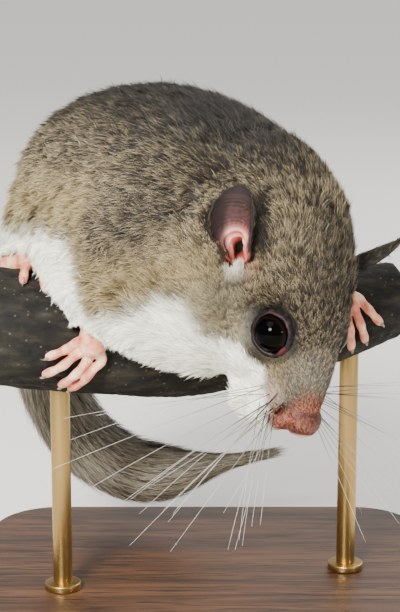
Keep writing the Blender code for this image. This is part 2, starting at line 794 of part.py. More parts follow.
FINISHES = {
    "fur": ((0.23, 0.19, 0.13), 0.9, 0.0),
    "skin": ((0.62, 0.36, 0.31), 0.55, 0.0),
    "eye": ((0.01, 0.008, 0.008), 0.05, 0.0),
    "bark": ((0.07, 0.06, 0.05), 0.9, 0.0),
    "board": ((0.10, 0.05, 0.025), 0.4, 0.0),
    "rod": ((0.5, 0.42, 0.25), 0.3, 1.0),
}


def finish(made, kind):
    colour, rough, metal = FINISHES[kind]
    material = bpy.data.materials.new(made.name + "_" + kind)
    material.use_nodes = True
    shader = material.node_tree.nodes["Principled BSDF"]
    shader.inputs["Base Color"].default_value = (*colour, 1.0)
    shader.inputs["Roughness"].default_value = rough
    shader.inputs["Metallic"].default_value = metal
    made.data.materials.clear()
    made.data.materials.append(material)


def tidied(made):
    # Joins faces that lie in one plane, then splits what is left into triangles.
    shape = bmesh.new()
    shape.from_mesh(made.data)
    bmesh.ops.dissolve_limit(shape, angle_limit=math.radians(FLAT_ANGLE), verts=shape.verts, edges=shape.edges)
    bmesh.ops.triangulate(shape, faces=shape.faces)
    shape.to_mesh(made.data)
    shape.free()


def build():
    for thing in list(bpy.data.objects):
        bpy.data.objects.remove(thing, do_unlink=True)
    made = {}

    rest = flesh(BODY_FACES)
    fine = flesh(HEAD_FACES)
    for skin in (rest, fine):
        combined(skin, branch("bark", GAP), "DIFFERENCE", "MANIFOLD")

    around_body = grown(rest)
    around_head = grown(fine)

    # Hands and feet, each parted from its limb across the wrist or ankle.
    ends = (
        ("hand_right", HAND_RIGHT),
        ("hand_left", HAND_LEFT),
        ("foot_right", FOOT_RIGHT),
        ("foot_left", FOOT_LEFT),
    )
    for name, spec in ends:
        wrist = on_bark(*spec["wrist"][:3])
        way = (on_bark(*spec["palm"][:3]) - wrist).normalized()
        paw = hand(name, spec, HAND_FACES)
        combined(paw, branch("bark", GAP), "DIFFERENCE", "MANIFOLD")
        sliced(paw, wrist, -way, -GAP / 2)
        reach = spec["wrist"][3] + WRIST_ROOM
        stub = ball("stub", wrist, (reach, reach, reach), BODY_AXES)
        for beyond in (hand("beyond", spec, ROOM_FACES, 3 * GAP), stub):
            sliced(beyond, wrist, -way, GAP / 2)
            for skin in (rest, fine):
                combined(skin, copied("beyond", beyond), "DIFFERENCE", "MANIFOLD")
            remove([beyond])
        made[name] = (paw, "skin")

    made["head"] = (carved("head", rest, lambda grow: block(
        "cut", SKULL_AXES, (-19.0, -30.0, -19.4), (30.0, 30.0, 30.0), grow), fine), "fur")
    limbs = (("forearm_right", FOREARM_RIGHT), ("upper_arm_right", UPPER_ARM_RIGHT),
             ("forearm_left", FOREARM_LEFT), ("upper_arm_left", UPPER_ARM_LEFT),
             ("shank_right", SHANK_RIGHT), ("thigh_right", THIGH_RIGHT),
             ("shank_left", SHANK_LEFT), ("thigh_left", THIGH_LEFT))
    for name, rows in limbs:
        made[name] = (carved(name, rest, lambda grow: limb_room(rows, grow)), "fur")
    made["neck"] = (carved("neck", rest, lambda grow: block(
        "cut", BODY_AXES, (-13.0, -60.0, -30.0), (40.0, 60.0, 80.0), grow)), "fur")
    made["chest"] = (carved("chest", rest, lambda grow: block(
        "cut", BODY_AXES, (-38.0, -60.0, -30.0), (40.0, 60.0, 80.0), grow)), "fur")
    made["loins"] = (carved("loins", rest, lambda grow: block(
        "cut", BODY_AXES, (-60.0, -60.0, -30.0), (40.0, 60.0, 80.0), grow)), "fur")
    rest.name = "rump"
    made["rump"] = (rest, "fur")
    remove([fine])

    head = made["head"][0]
    united(head, [lid(1), lid(-1)])
    combined(head, mouth_groove(head), "DIFFERENCE")
    for side, name in ((1, "left"), (-1, "right")):
        combined(head, nostril(side), "DIFFERENCE")
        combined(head, eye("socket", side, GAP), "DIFFERENCE")
        made["eye_" + name] = (eye("eye_" + name, side), "eye")
        cup = ear("ear_" + name, side, EAR_LEFT if side > 0 else EAR_RIGHT)
        combined(cup, copied("around", around_head), "DIFFERENCE", "MANIFOLD")
        made["ear_" + name] = (cup, "skin")
    remove([around_head])

    whole = combined(tail_whole("tail"), around_body, "DIFFERENCE", "MANIFOLD")
    for piece in tail_lengths(whole):
        made[piece.name] = (piece, "fur")

    perch = branch("perch_branch")
    for number, share in enumerate(ROD_PLACES):
        top = rod_top(share)
        pocket = upright("pocket", rod_axis(share), 0.0, top, ROD_WIDTH / 2 + GAP)
        combined(perch, pocket, "DIFFERENCE")
        name = "stand_rod_" + str(number + 1)
        made[name] = (upright(name, rod_axis(share), STAND_THICK + GAP, top - GAP, ROD_WIDTH / 2), "rod")
    made["perch_branch"] = (perch, "bark")
    made["stand_base"] = (plate("stand_base"), "board")

    for name, (thing, kind) in made.items():
        thing.name = name
        tidied(thing)
        finish(thing, kind)


build()
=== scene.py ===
import math

import bmesh
import bpy
import numpy as np
from mathutils import Matrix, Vector, kdtree, noise


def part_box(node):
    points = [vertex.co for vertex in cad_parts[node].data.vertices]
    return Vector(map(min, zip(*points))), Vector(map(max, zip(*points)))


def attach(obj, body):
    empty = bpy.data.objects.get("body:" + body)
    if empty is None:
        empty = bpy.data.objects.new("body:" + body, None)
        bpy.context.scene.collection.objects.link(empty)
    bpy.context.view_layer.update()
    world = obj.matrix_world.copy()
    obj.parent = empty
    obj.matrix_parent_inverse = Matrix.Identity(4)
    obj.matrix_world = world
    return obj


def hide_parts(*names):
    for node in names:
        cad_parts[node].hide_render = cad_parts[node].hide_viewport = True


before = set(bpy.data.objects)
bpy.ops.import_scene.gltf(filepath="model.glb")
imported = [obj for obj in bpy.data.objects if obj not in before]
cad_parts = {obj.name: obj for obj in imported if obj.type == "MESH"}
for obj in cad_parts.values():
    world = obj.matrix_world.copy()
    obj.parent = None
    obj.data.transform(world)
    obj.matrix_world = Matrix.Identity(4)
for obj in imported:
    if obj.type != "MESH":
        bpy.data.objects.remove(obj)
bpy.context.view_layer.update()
bpy.ops.object.select_all(action="DESELECT")
print("frame loaded:", len(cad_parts), "nodes")

mm = 0.001
pose = {
    "eyesMiddle": (20.0, -30.0, 71.0),
    "body": (-43.0, 0.0, 0.0),          # heading, pitch, roll in degrees
    "skull": (-59.5, -56.7, -19.5),
}


def axesOf(heading, pitch, roll):
    # forward, left and up as the rows of one array
    turn, tip, lean = (math.radians(value) for value in (heading, pitch, roll))
    forward = np.array((math.cos(tip) * math.cos(turn), math.cos(tip) * math.sin(turn), math.sin(tip)))
    level = np.array((-math.sin(turn), math.cos(turn), 0.0))
    left = level * math.cos(lean) + np.cross(forward, level) * math.sin(lean)
    return np.array((forward, left, np.cross(forward, left)))


eyesMiddle = np.array(pose["eyesMiddle"])
bodyAxes = axesOf(*pose["body"])
skullAxes = axesOf(*pose["skull"])


def fromSkull(places):
    return (eyesMiddle + np.asarray(places, float) @ skullAxes) * mm


def toSkull(points):
    return (np.asarray(points) / mm - eyesMiddle) @ skullAxes.T


def toBody(points):
    return (np.asarray(points) / mm - eyesMiddle) @ bodyAxes.T


def unit(vectors):
    vectors = np.asarray(vectors, float)
    return vectors / np.maximum(np.linalg.norm(vectors, axis=-1, keepdims=True), 1e-12)


def ease(values, low, high):
    # 0 below low, 1 above high, smooth between; low may be the larger one
    t = np.clip((np.asarray(values, float) - low) / (high - low), 0.0, 1.0)
    return t * t * (3 - 2 * t)


def bell(distance, width):
    return np.exp(-(np.asarray(distance) / width) ** 2)


def spot(points, middle, size):
    # 1 at the middle of an oval of the given half sizes, fading to 0 outside it
    return bell(np.linalg.norm((points - middle) / size, axis=1), 1.0)


def flatOn(ways, normals):
    # the part of each way that lies along the surface
    return ways - normals * (ways * normals).sum(1, keepdims=True)


def ripple(points, size, seed):
    # a smooth cheap pattern of about -1 to 1 whose waves are size millimetres long
    draw = np.random.default_rng(seed)
    ways = unit(draw.normal(size=(6, 3))) * (2 * math.pi / (size * mm))
    total = np.zeros(len(points))
    for way, scale, phase in zip(ways, draw.uniform(0.6, 1.7, 6), draw.uniform(0, 6.28, 6)):
        total += np.sin(points @ (way * scale) + phase)
    return total / 3.0


def easedRows(rows, steps):
    # rows of numbers along a smooth curve through the given rows
    rows = np.asarray(rows, float)
    made = []
    for index in range(len(rows) - 1):
        a, b = rows[max(index - 1, 0)], rows[index]
        c, d = rows[index + 1], rows[min(index + 2, len(rows) - 1)]
        for step in range(steps):
            t = step / steps
            made.append(0.5 * (2 * b + (c - a) * t + (2 * a - 5 * b + 4 * c - d) * t * t
                               + (3 * b - a - 3 * c + d) * t ** 3))
    made.append(rows[-1])
    return np.array(made)


# Materials

def fromHex(text):
    # sRGB hex to linear
    made = []
    for start in (0, 2, 4):
        value = int(text[start:start + 2], 16) / 255
        made.append(value / 12.92 if value <= 0.04045 else ((value + 0.055) / 1.055) ** 2.4)
    return (*made, 1.0)


def add(tree, kind, values=None, links=None, stops=None, **settings):
    # one node, with its settings, socket values, colour stops and links
    made = tree.nodes.new(kind)
    for key, value in settings.items():
        setattr(made, key, value)
    for key, value in (values or {}).items():
        made.inputs[key].default_value = fromHex(value) if isinstance(value, str) else value
    for key, source in (links or {}).items():
        tree.links.new(source, made.inputs[key])
    if stops:
        ramp = made.color_ramp
        while len(ramp.elements) < len(stops):
            ramp.elements.new(0.5)
        for element, (at, colour) in zip(ramp.elements, stops):
            element.position = at
            element.color = fromHex(colour)
    return made


def blank(name, **shader):
    # a new material with its shader's fixed values
    made = bpy.data.materials.new(name)
    made.use_nodes = True
    tree = made.node_tree
    tree.nodes.clear()
    values = {key.replace("_", " "): value for key, value in shader.items()}
    surface = add(tree, "ShaderNodeBsdfPrincipled", values)
    add(tree, "ShaderNodeOutputMaterial", links={"Surface": surface.outputs["BSDF"]})
    return made, tree, surface


def mixed(tree, factor, first, second, blend="MIX"):
    # the colour between two others; each may be a socket, a hex colour or a number
    made = add(tree, "ShaderNodeMix", data_type="RGBA", blend_type=blend)
    for socket, value in ((0, factor), (6, first), (7, second)):
        if isinstance(value, str):
            made.inputs[socket].default_value = fromHex(value)
        elif isinstance(value, (int, float)):
            made.inputs[socket].default_value = value
        else:
            tree.links.new(value, made.inputs[socket])
    return made.outputs[2]


def placeIn(tree, stretch=None):
    # the object's own coordinates, stretched along its axes where a pattern has a direction
    here = add(tree, "ShaderNodeTexCoord").outputs["Object"]
    if stretch is None:
        return here
    return add(tree, "ShaderNodeMapping", {"Scale": stretch}, {"Vector": here}).outputs["Vector"]


def cloudy(tree, place, scale=1.0, detail=2.0, **more):
    # noise from 0 to 1; scale is waves in a metre
    values = {"Scale": scale, "Detail": detail, **more}
    return add(tree, "ShaderNodeTexNoise", values, {"Vector": place}).outputs["Fac"]


def cells(tree, place, scale):
    return add(tree, "ShaderNodeTexVoronoi", {"Scale": scale}, {"Vector": place}).outputs["Distance"]


def ramp(tree, share, *stops):
    return add(tree, "ShaderNodeValToRGB", links={"Fac": share}, stops=stops).outputs["Color"]


def ranged(tree, value, **ends):
    # fromMin, fromMax, toMin and toMax of a range whose value is kept inside it
    names = {"fromMin": "From Min", "fromMax": "From Max", "toMin": "To Min", "toMax": "To Max"}
    values = {names[key]: end for key, end in ends.items()}
    return add(tree, "ShaderNodeMapRange", values, {"Value": value}).outputs["Result"]


def reckon(tree, operation, first, second):
    # one sum of a socket with a number or another socket
    if isinstance(second, float):
        made = add(tree, "ShaderNodeMath", {1: second}, {0: first}, operation=operation)
    else:
        made = add(tree, "ShaderNodeMath", links={0: first, 1: second}, operation=operation)
    return made.outputs["Value"]


def layerOf(tree, name):
    return add(tree, "ShaderNodeAttribute", attribute_name=name).outputs["Fac"]


def paint(tree, surface, colour):
    tree.links.new(colour, surface.inputs["Base Color"])


def dent(tree, surface, height, strength, distance):
    # small relief; distance is in metres
    bump = add(tree, "ShaderNodeBump", {"Strength": strength, "Distance": distance}, {"Height": height})
    tree.links.new(bump.outputs["Normal"], surface.inputs["Normal"])


def finishPiece(piece, material, replaced=()):
    piece.data.materials.clear()
    piece.data.materials.append(material)
    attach(piece, "root")
    if replaced:
        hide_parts(*replaced)
    return piece


# Mesh helpers

def smoothAll(mesh):
    mesh.polygons.foreach_set("use_smooth", np.ones(len(mesh.polygons), bool))


def meshFrom(name, points, faces, smooth=True):
    # an object from points in metres and faces of any size
    mesh = bpy.data.meshes.new(name)
    mesh.from_pydata([tuple(p) for p in points], [], [tuple(int(i) for i in f) for f in faces])
    mesh.update()
    if smooth:
        smoothAll(mesh)
    made = bpy.data.objects.new(name, mesh)
    bpy.context.scene.collection.objects.link(made)
    return made


def meshFromArrays(name, points, triangles, smooth=True):
    # the same for very many triangles
    mesh = bpy.data.meshes.new(name)
    mesh.vertices.add(len(points))
    mesh.vertices.foreach_set("co", np.asarray(points, np.float32).ravel())
    mesh.loops.add(len(triangles) * 3)
    mesh.loops.foreach_set("vertex_index", np.asarray(triangles, np.int32).ravel())
    mesh.polygons.add(len(triangles))
    mesh.polygons.foreach_set("loop_start", np.arange(0, len(triangles) * 3, 3, dtype=np.int32))
    mesh.update(calc_edges=True)
    if smooth:
        smoothAll(mesh)
    made = bpy.data.objects.new(name, mesh)
    bpy.context.scene.collection.objects.link(made)
    return made


def bandFaces(rings, sides):
    # the faces between rings of points that follow one another
    faces = []
    for row in range(rings - 1):
        for side in range(sides):
            a, b = row * sides + side, row * sides + (side + 1) % sides
            faces.append((a, b, b + sides, a + sides))
    return faces


def tubeData(rows, sides, start=0, roundEnds=True):
    # points and faces of a round tube; rows are x, y, z, radius in metres
    rows = np.asarray(rows, float)
    if roundEnds:
        first, last = unit(rows[1, :3] - rows[0, :3]), unit(rows[-1, :3] - rows[-2, :3])
        lifts = (0.97, 0.86, 0.66, 0.38)
        head = [np.append(rows[0, :3] - first * rows[0, 3] * a, rows[0, 3] * math.sqrt(1 - a * a))
                for a in lifts]
        tail = [np.append(rows[-1, :3] + last * rows[-1, 3] * a, rows[-1, 3] * math.sqrt(1 - a * a))
                for a in lifts[::-1]]
        rows = np.array(head + list(rows) + tail)
    centres, radii = rows[:, :3], rows[:, 3]
    ahead = unit(np.gradient(centres, axis=0))
    across = np.cross(ahead[0], (0.31, 0.52, 0.79))
    turns = np.arange(sides) * 2 * math.pi / sides
    points = []
    for centre, radius, way in zip(centres, radii, ahead):
        across = unit(across - way * (across @ way))
        other = np.cross(way, across)
        round = np.outer(np.cos(turns), across) + np.outer(np.sin(turns), other)
        points.append(centre + radius * round)
    points = np.concatenate(points + [centres[:1], centres[-1:]])
    count = len(centres)
    faces = bandFaces(count, sides)
    for side in range(sides):
        faces.append((side, count * sides, (side + 1) % sides))
        last = (count - 1) * sides
        faces.append((last + side, last + (side + 1) % sides, count * sides + 1))
    return points, [tuple(start + i for i in face) for face in faces]


def tubes(name, many, sides, roundEnds=True):
    # one object that holds many tubes
    points, faces, start = [], [], 0
    for rows in many:
        somePoints, someFaces = tubeData(rows, sides, start, roundEnds)
        points.append(somePoints)
        faces += someFaces
        start += len(somePoints)
    return meshFrom(name, np.concatenate(points), faces)


def pickOnly(thing):
    bpy.ops.object.select_all(action="DESELECT")
    bpy.context.view_layer.objects.active = thing
    thing.select_set(True)


def useModifier(thing, kind, **settings):
    # adds a modifier and applies it at once
    pickOnly(thing)
    step = thing.modifiers.new("step", kind)
    for key, value in settings.items():
        setattr(step, key, value)
    bpy.ops.object.modifier_apply(modifier=step.name)
    return thing


def pointsOf(mesh):
    made = np.zeros(len(mesh.vertices) * 3, np.float32)
    mesh.vertices.foreach_get("co", made)
    return made.reshape(-1, 3).astype(float)


def normalsOf(mesh):
    made = np.zeros(len(mesh.vertices) * 3, np.float32)
    mesh.vertex_normals.foreach_get("vector", made)
    return made.reshape(-1, 3).astype(float)


def setLayer(mesh, name, values):
    # one number for each point, for a material to read
    mesh.attributes.new(name, "FLOAT", "POINT").data.foreach_set("value", np.asarray(values, np.float32))


def readLayer(mesh, name):
    made = np.zeros(len(mesh.vertices), np.float32)
    mesh.attributes[name].data.foreach_get("value", made)
    return made


def setColours(mesh, name, colours):
    layer = mesh.attributes.new(name, "FLOAT_COLOR", "POINT")
    layer.data.foreach_set("color", colours.astype(np.float32).ravel())


def faceOut(thing):
    shape = bmesh.new()
    shape.from_mesh(thing.data)
    bmesh.ops.recalc_face_normals(shape, faces=shape.faces)
    shape.to_mesh(thing.data)
    shape.free()


def movePoints(mesh, points):
    mesh.vertices.foreach_set("co", points.astype(np.float32).ravel())
    mesh.update()


def edgesOf(mesh):
    made = np.zeros(len(mesh.edges) * 2, np.int32)
    mesh.edges.foreach_get("vertices", made)
    return made.reshape(-1, 2)


def spread(values, edges, passes, keep=0.0):
    # evens a value out over neighbouring points
    values = np.asarray(values, float)
    flat = values.reshape(len(values), -1)
    count = np.bincount(edges.ravel(), minlength=len(flat)).astype(float)[:, None]
    for _ in range(passes):
        total = np.zeros_like(flat)
        for column in range(flat.shape[1]):
            total[:, column] = (np.bincount(edges[:, 0], flat[edges[:, 1], column], len(flat))
                                + np.bincount(edges[:, 1], flat[edges[:, 0], column], len(flat)))
        flat = keep * flat + (1 - keep) * (0.5 * flat + 0.5 * total / np.maximum(count, 1))
    return flat.reshape(values.shape)


# Camera, floor and lights

shot = {"distance": 360.0, "across": -21.5, "above": 6.5, "lookDown": 12.0, "lens": 101.6}


def viewAxes():
    # the camera's right, up and back as the rows of one array
    rise, level = math.sin(math.radians(shot["lookDown"])), math.cos(math.radians(shot["lookDown"]))
    return np.array(((1.0, 0.0, 0.0), (0.0, rise, level), (0.0, -level, rise)))


def setCamera():
    back = viewAxes()[2]
    camera = bpy.data.objects.new("camera", bpy.data.cameras.new("camera"))
    bpy.context.scene.collection.objects.link(camera)
    offset = np.array((shot["across"], shot["above"], shot["distance"])) @ viewAxes()
    camera.location = (eyesMiddle + offset) * mm
    camera.rotation_mode = "QUATERNION"
    camera.rotation_quaternion = Vector(-back).to_track_quat("-Z", "Y")
    camera.data.lens = shot["lens"]
    camera.data.sensor_width = 36.0
    camera.data.clip_start = 0.01
    camera.data.clip_end = 100.0
    bpy.context.scene.camera = camera


studio = {
    "floorSize": 40.0,                  # metres
    "floorColour": "e3e1dc",
    "worldColour": "f3f2ef",
    "worldStrength": 0.74,
    # lamps: direction from the animal in the camera's right, up and back; distance and size in metres; watts
    "key": ((-0.38, 0.42, 1.0), 0.85, 0.26, 20.0),
    "front": ((0.80, 0.10, 0.62), 0.80, 0.09, 1.3),
    "rim": ((0.55, 0.85, -0.60), 0.95, 0.50, 4.0),
    "sun": ((-0.5, 1.4, 0.9), 1.35),
}


def setStudio():
    bpy.ops.mesh.primitive_plane_add(size=studio["floorSize"], location=(0, 0, 0))
    floor = bpy.context.object
    floor.name = "floor"
    # matt paper sweep: flat and pale, with no sheen
    paper = blank("paperSweep", Roughness=0.95, Base_Color=studio["floorColour"], Specular_IOR_Level=0.1)
    floor.data.materials.append(paper[0])
    view = viewAxes()
    for name in ("key", "front", "rim"):
        way, distance, size, power = studio[name]
        lamp = bpy.data.objects.new(name + "Light", bpy.data.lights.new(name + "Light", "AREA"))
        bpy.context.scene.collection.objects.link(lamp)
        lamp.data.shape = "DISK"
        lamp.data.size = size
        lamp.data.energy = power
        out = unit(way) @ view
        lamp.location = eyesMiddle * mm + out * distance
        lamp.rotation_mode = "QUATERNION"
        lamp.rotation_quaternion = Vector(-out).to_track_quat("-Z", "Y")
    way, strength = studio["sun"]
    sun = bpy.data.objects.new("sunLight", bpy.data.lights.new("sunLight", "SUN"))
    bpy.context.scene.collection.objects.link(sun)
    sun.data.energy = strength
    sun.data.angle = math.radians(35)
    sun.rotation_mode = "QUATERNION"
    sun.rotation_quaternion = Vector(-unit(way) @ view).to_track_quat("-Z", "Y")
    world = bpy.data.worlds.new("paleRoom")
    world.use_nodes = True
    shade = world.node_tree.nodes["Background"]
    shade.inputs["Color"].default_value = fromHex(studio["worldColour"])
    shade.inputs["Strength"].default_value = studio["worldStrength"]
    bpy.context.scene.world = world


setCamera()
setStudio()
print("camera, floor and lights")

# Branch: the same axis as the solid's, with finer bark

branchShape = {
    # x, y, z of the axis from the middle between the eyes, radius
    "axis": ((-75.0, 24.1, -2.1, 13.6), (-45.0, 25.4, -5.4, 13.1), (-20.0, 30.1, -7.4, 12.4),
             (5.0, 35.8, -4.6, 10.4), (25.0, 41.0, 0.5, 8.2)),
    "swell": 0.035,
    "sides": 180,
    "rings": 230,
    "bevel": 0.8,                       # how far the cut ends' rims are eased
    "furrow": 0.34,                     # depth of the bark's cracks
    "knots": ((-58.0, 60.0, 5.0, 0.9), (-14.0, 105.0, 4.0, 0.8), (12.0, 40.0, 4.5, 0.7)),
}
axisRows = easedRows(branchShape["axis"], 8)


def branchAt(x):
    # axis and radius at places along the branch, straight on past its ends
    x = np.asarray(x, float)
    inside = np.clip(x, axisRows[0, 0], axisRows[-1, 0])
    made = np.stack([np.interp(inside, axisRows[:, 0], axisRows[:, i]) for i in range(1, 4)], -1)
    for end, other in ((0, 1), (-1, -2)):
        slope = (axisRows[end, 1:] - axisRows[other, 1:]) / (axisRows[end, 0] - axisRows[other, 0])
        past = x - inside
        hit = (past < 0) if end == 0 else (past > 0)
        made = made + np.where(hit, past, 0.0)[..., None] * slope
    return np.concatenate([x[..., None] + eyesMiddle[0], made[..., :2] + eyesMiddle[1:]], -1), made[..., 2]


def onBark(x, angle, lift):
    # points over the bark in millimetres: place along, degrees from the top toward the front, height
    x, angle, lift = np.broadcast_arrays(*(np.asarray(value, float) for value in (x, angle, lift)))
    centre, radius = branchAt(x)
    along = unit(branchAt(x + 1)[0] - branchAt(x - 1)[0])
    up = unit(np.array((0.0, 0.0, 1.0)) - along * along[..., 2:])
    turn = np.radians(angle)
    swell = 0.5 * np.sin(2 * turn + x / 9) + 0.3 * np.sin(3 * turn - x / 6 + 1)
    swell = swell + 0.2 * np.sin(5 * turn + x / 4)
    reach = radius * (1 + branchShape["swell"] * swell) + lift
    out = up * np.cos(turn)[..., None] + np.cross(along, up) * np.sin(turn)[..., None]
    return centre + out * reach[..., None]


def makeBranch():
    sides, rings = branchShape["sides"], branchShape["rings"]
    start, end = axisRows[0, 0], axisRows[-1, 0]
    bevel = branchShape["bevel"]
    places = [(start, -bevel), (start + 0.3 * bevel, -0.35 * bevel), (start + bevel, 0.0)]
    places += [(start + bevel + (end - start - 2 * bevel) * step / rings, 0.0) for step in range(1, rings)]
    places += [(end - bevel, 0.0), (end - 0.3 * bevel, -0.35 * bevel), (end, -bevel)]
    turns = np.arange(sides) * 360 / sides
    points, crack = [], []
    for x, drop in places:
        around = np.radians(turns)
        # long cracks that wander along the branch, broken by finer ones across it
        base = onBark(x, turns, 0.0)
        values = []
        for angle, here in zip(around, base):
            stretched = Vector((x * 0.055, math.cos(angle) * 3.2, math.sin(angle) * 3.2))
            long = abs(noise.noise(stretched * 2.1))
            long += 0.5 * abs(noise.noise(stretched * 4.7 + Vector((3, 1, 7))))
            fine = noise.fractal(Vector(here) * 0.55, 0.8, 2.1, 4)
            pits = noise.noise(Vector((x * 0.5, math.cos(angle) * 6, math.sin(angle) * 6)))
            values.append((long, fine, pits))
        long, fine, pits = np.array(values).T
        cracks = 1 - np.clip(long / 0.16, 0, 1)
        height = -branchShape["furrow"] * cracks + 0.16 * fine + 0.22 * np.clip(pits, 0, 1)
        for place, angle, size, tall in branchShape["knots"]:
            away = np.hypot((x - place), (((turns - angle + 180) % 360) - 180) * math.pi / 180 * 12)
            height = height + tall * bell(away, size) - 1.3 * tall * bell(away, size * 0.38)
        height = np.clip(height, -0.9, 0.55)
        points.append(onBark(x, turns, height + drop - 0.1))
        crack.append(cracks)
    made = meshFrom("branch", np.concatenate(points) * mm, bandFaces(len(places), sides))
    shape = bmesh.new()
    shape.from_mesh(made.data)
    cut = shape.verts.layers.float.new("cutWood")
    growth = shape.verts.layers.float.new("growth")
    shape.verts.ensure_lookup_table()
    rims = [[shape.verts[row * sides + side] for side in range(sides)] for row in (0, len(places) - 1)]
    # each cut end: rings that step in to the pith
    for rim in rims:
        edge = [v.co.copy() for v in rim]
        centre = sum(edge, Vector()) / sides
        before = rim
        for v in rim:
            v[growth] = 1.0
        for share in (0.96, 0.75, 0.5, 0.25, 0.08):
            ring = [shape.verts.new(centre + (place - centre) * share) for place in edge]
            for side, v in enumerate(ring):
                v[cut] = 1.0
                v[growth] = share
                other = (side + 1) % sides
                shape.faces.new((before[side], before[other], ring[other], v))
            before = ring
        hub = shape.verts.new(centre)
        hub[cut] = 1.0
        for side in range(sides):
            shape.faces.new((before[side], before[(side + 1) % sides], hub))
    bmesh.ops.recalc_face_normals(shape, faces=shape.faces)
    shape.to_mesh(made.data)
    shape.free()
    smoothAll(made.data)
    return made


def barkMaterial():
    # oak or hazel bark: dark grey-brown, dull, cracked along, with pale specks and a green-grey bloom
    made, tree, surface = blank("greyBark", Roughness=0.86, Specular_IOR_Level=0.3)
    place = placeIn(tree)
    grain = cloudy(tree, placeIn(tree, (130, 420, 420)), detail=8.0, Roughness=0.62)
    body = ramp(tree, grain, (0.30, "050403"), (0.46, "110f0a"), (0.60, "231f17"), (0.76, "40392c"))
    bloom = ramp(tree, cloudy(tree, place, 95.0, 4.0), (0.5, "000000"), (0.72, "8c8c8c"))
    specks = ramp(tree, cells(tree, place, 620.0), (0.10, "b0b0b0"), (0.18, "000000"))
    bark = mixed(tree, specks, mixed(tree, bloom, body, "303226"), "6d6353")
    # sawn ends: pale wood with fine growth rings
    wobble = reckon(tree, "MULTIPLY", cloudy(tree, place, 260.0), 5.0)
    turns = reckon(tree, "ADD", reckon(tree, "MULTIPLY", layerOf(tree, "growth"), 62.0), wobble)
    rings = add(tree, "ShaderNodeMath", links={0: turns}, operation="SINE").outputs["Value"]
    wood = ramp(tree, ranged(tree, rings, fromMin=-1.0), (0.0, "94724a"), (0.55, "c0a072"), (1.0, "c9ab7d"))
    paint(tree, surface, mixed(tree, layerOf(tree, "cutWood"), bark, wood))
    dent(tree, surface, grain, 0.5, 0.0004)
    return made


finishPiece(makeBranch(), barkMaterial(), ("perch_branch",))
print("branch")

# Stand

stand = {
    "length": 108.0, "depth": 108.0, "thick": 6.0, "corner": 16.0, "edge": 1.2,
    "rodWidth": 4.4, "rodEdge": 0.3,
}


def makeBoard():
    bpy.ops.mesh.primitive_cube_add(size=1, location=(0, 0, stand["thick"] * mm / 2))
    board = bpy.context.object
    board.name = "board"
    board.scale = (stand["length"] * mm, stand["depth"] * mm, stand["thick"] * mm)
    bpy.ops.object.transform_apply(location=True, rotation=True, scale=True)
    bpy.ops.object.mode_set(mode="EDIT")
    shape = bmesh.from_edit_mesh(board.data)
    bpy.ops.mesh.select_all(action="DESELECT")
    bpy.context.tool_settings.mesh_select_mode = (False, True, False)
    for edge in shape.edges:
        edge.select_set(abs(edge.verts[0].co.z - edge.verts[1].co.z) > 0.001)
    bpy.ops.mesh.bevel(offset=stand["corner"] * mm, segments=14, affect="EDGES")
    shape = bmesh.from_edit_mesh(board.data)
    bpy.ops.mesh.select_all(action="DESELECT")
    for edge in shape.edges:
        edge.select_set(all(v.co.z > stand["thick"] * mm * 0.9 for v in edge.verts))
    bpy.ops.mesh.bevel(offset=stand["edge"] * mm, segments=5, affect="EDGES")
    bpy.ops.object.mode_set(mode="OBJECT")
    bpy.ops.object.shade_smooth_by_angle(angle=math.radians(32))
    return board


def boardMaterial():
    # dark stained hardwood, oiled: long fine grain, satin, with open pores
    made, tree, surface = blank("stainedHardwood", Roughness=0.38)
    drift = cloudy(tree, placeIn(tree, (14, 230, 230)), detail=5.0, Distortion=1.2)
    grain = ramp(tree, drift, (0.3, "2b1a10"), (0.5, "4a2f1c"), (0.66, "5d3d25"), (0.8, "3a2315"))
    pores = ramp(tree, cloudy(tree, placeIn(tree, (90, 1600, 1600))), (0.36, "6a6a6a"), (0.46, "ffffff"))
    paint(tree, surface, mixed(tree, 0.8, grain, pores, "MULTIPLY"))
    dent(tree, surface, pores, 0.25, 0.0001)
    return made


def makeRod(name, node):
    low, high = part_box(node)
    middle = (low + high) / 2
    tall = high.z - low.z + 0.5 * mm
    bpy.ops.object.select_all(action="DESELECT")
    bpy.ops.mesh.primitive_cylinder_add(vertices=48, radius=stand["rodWidth"] * mm / 2, depth=tall,
                                        location=(middle.x, middle.y, middle.z - 0.25 * mm))
    rod = bpy.context.object
    rod.name = name
    bpy.ops.object.transform_apply(location=True, rotation=True, scale=True)
    # a low collar where the rod meets the board
    bpy.ops.mesh.primitive_cylinder_add(vertices=48, radius=stand["rodWidth"] * mm * 0.95, depth=1.6 * mm,
                                        location=(middle.x, middle.y, low.z + 0.55 * mm))
    collar = bpy.context.object
    bpy.ops.object.transform_apply(location=True, rotation=True, scale=True)
    for thing in (rod, collar):
        useModifier(thing, "BEVEL", width=stand["rodEdge"] * mm, segments=3, limit_method="ANGLE")
    pickOnly(rod)
    collar.select_set(True)
    bpy.ops.object.join()
    bpy.ops.object.shade_smooth_by_angle(angle=math.radians(35))
    return rod


def rodMaterial():
    # brushed brass, a little dull: fine lines round the rod
    made, tree, surface = blank("brushedBrass", Roughness=0.32, Metallic=1.0, Base_Color="a88a54")
    dent(tree, surface, cloudy(tree, placeIn(tree, (40, 40, 5200))), 0.12, 0.00005)
    return made


finishPiece(makeBoard(), boardMaterial(), ("stand_base",))
brass = rodMaterial()
for number in ("1", "2"):
    finishPiece(makeRod("rod" + number, "stand_rod_" + number), brass, ("stand_rod_" + number,))
print("stand")

# Skin: the flesh solids fused into one surface that lies under the coat

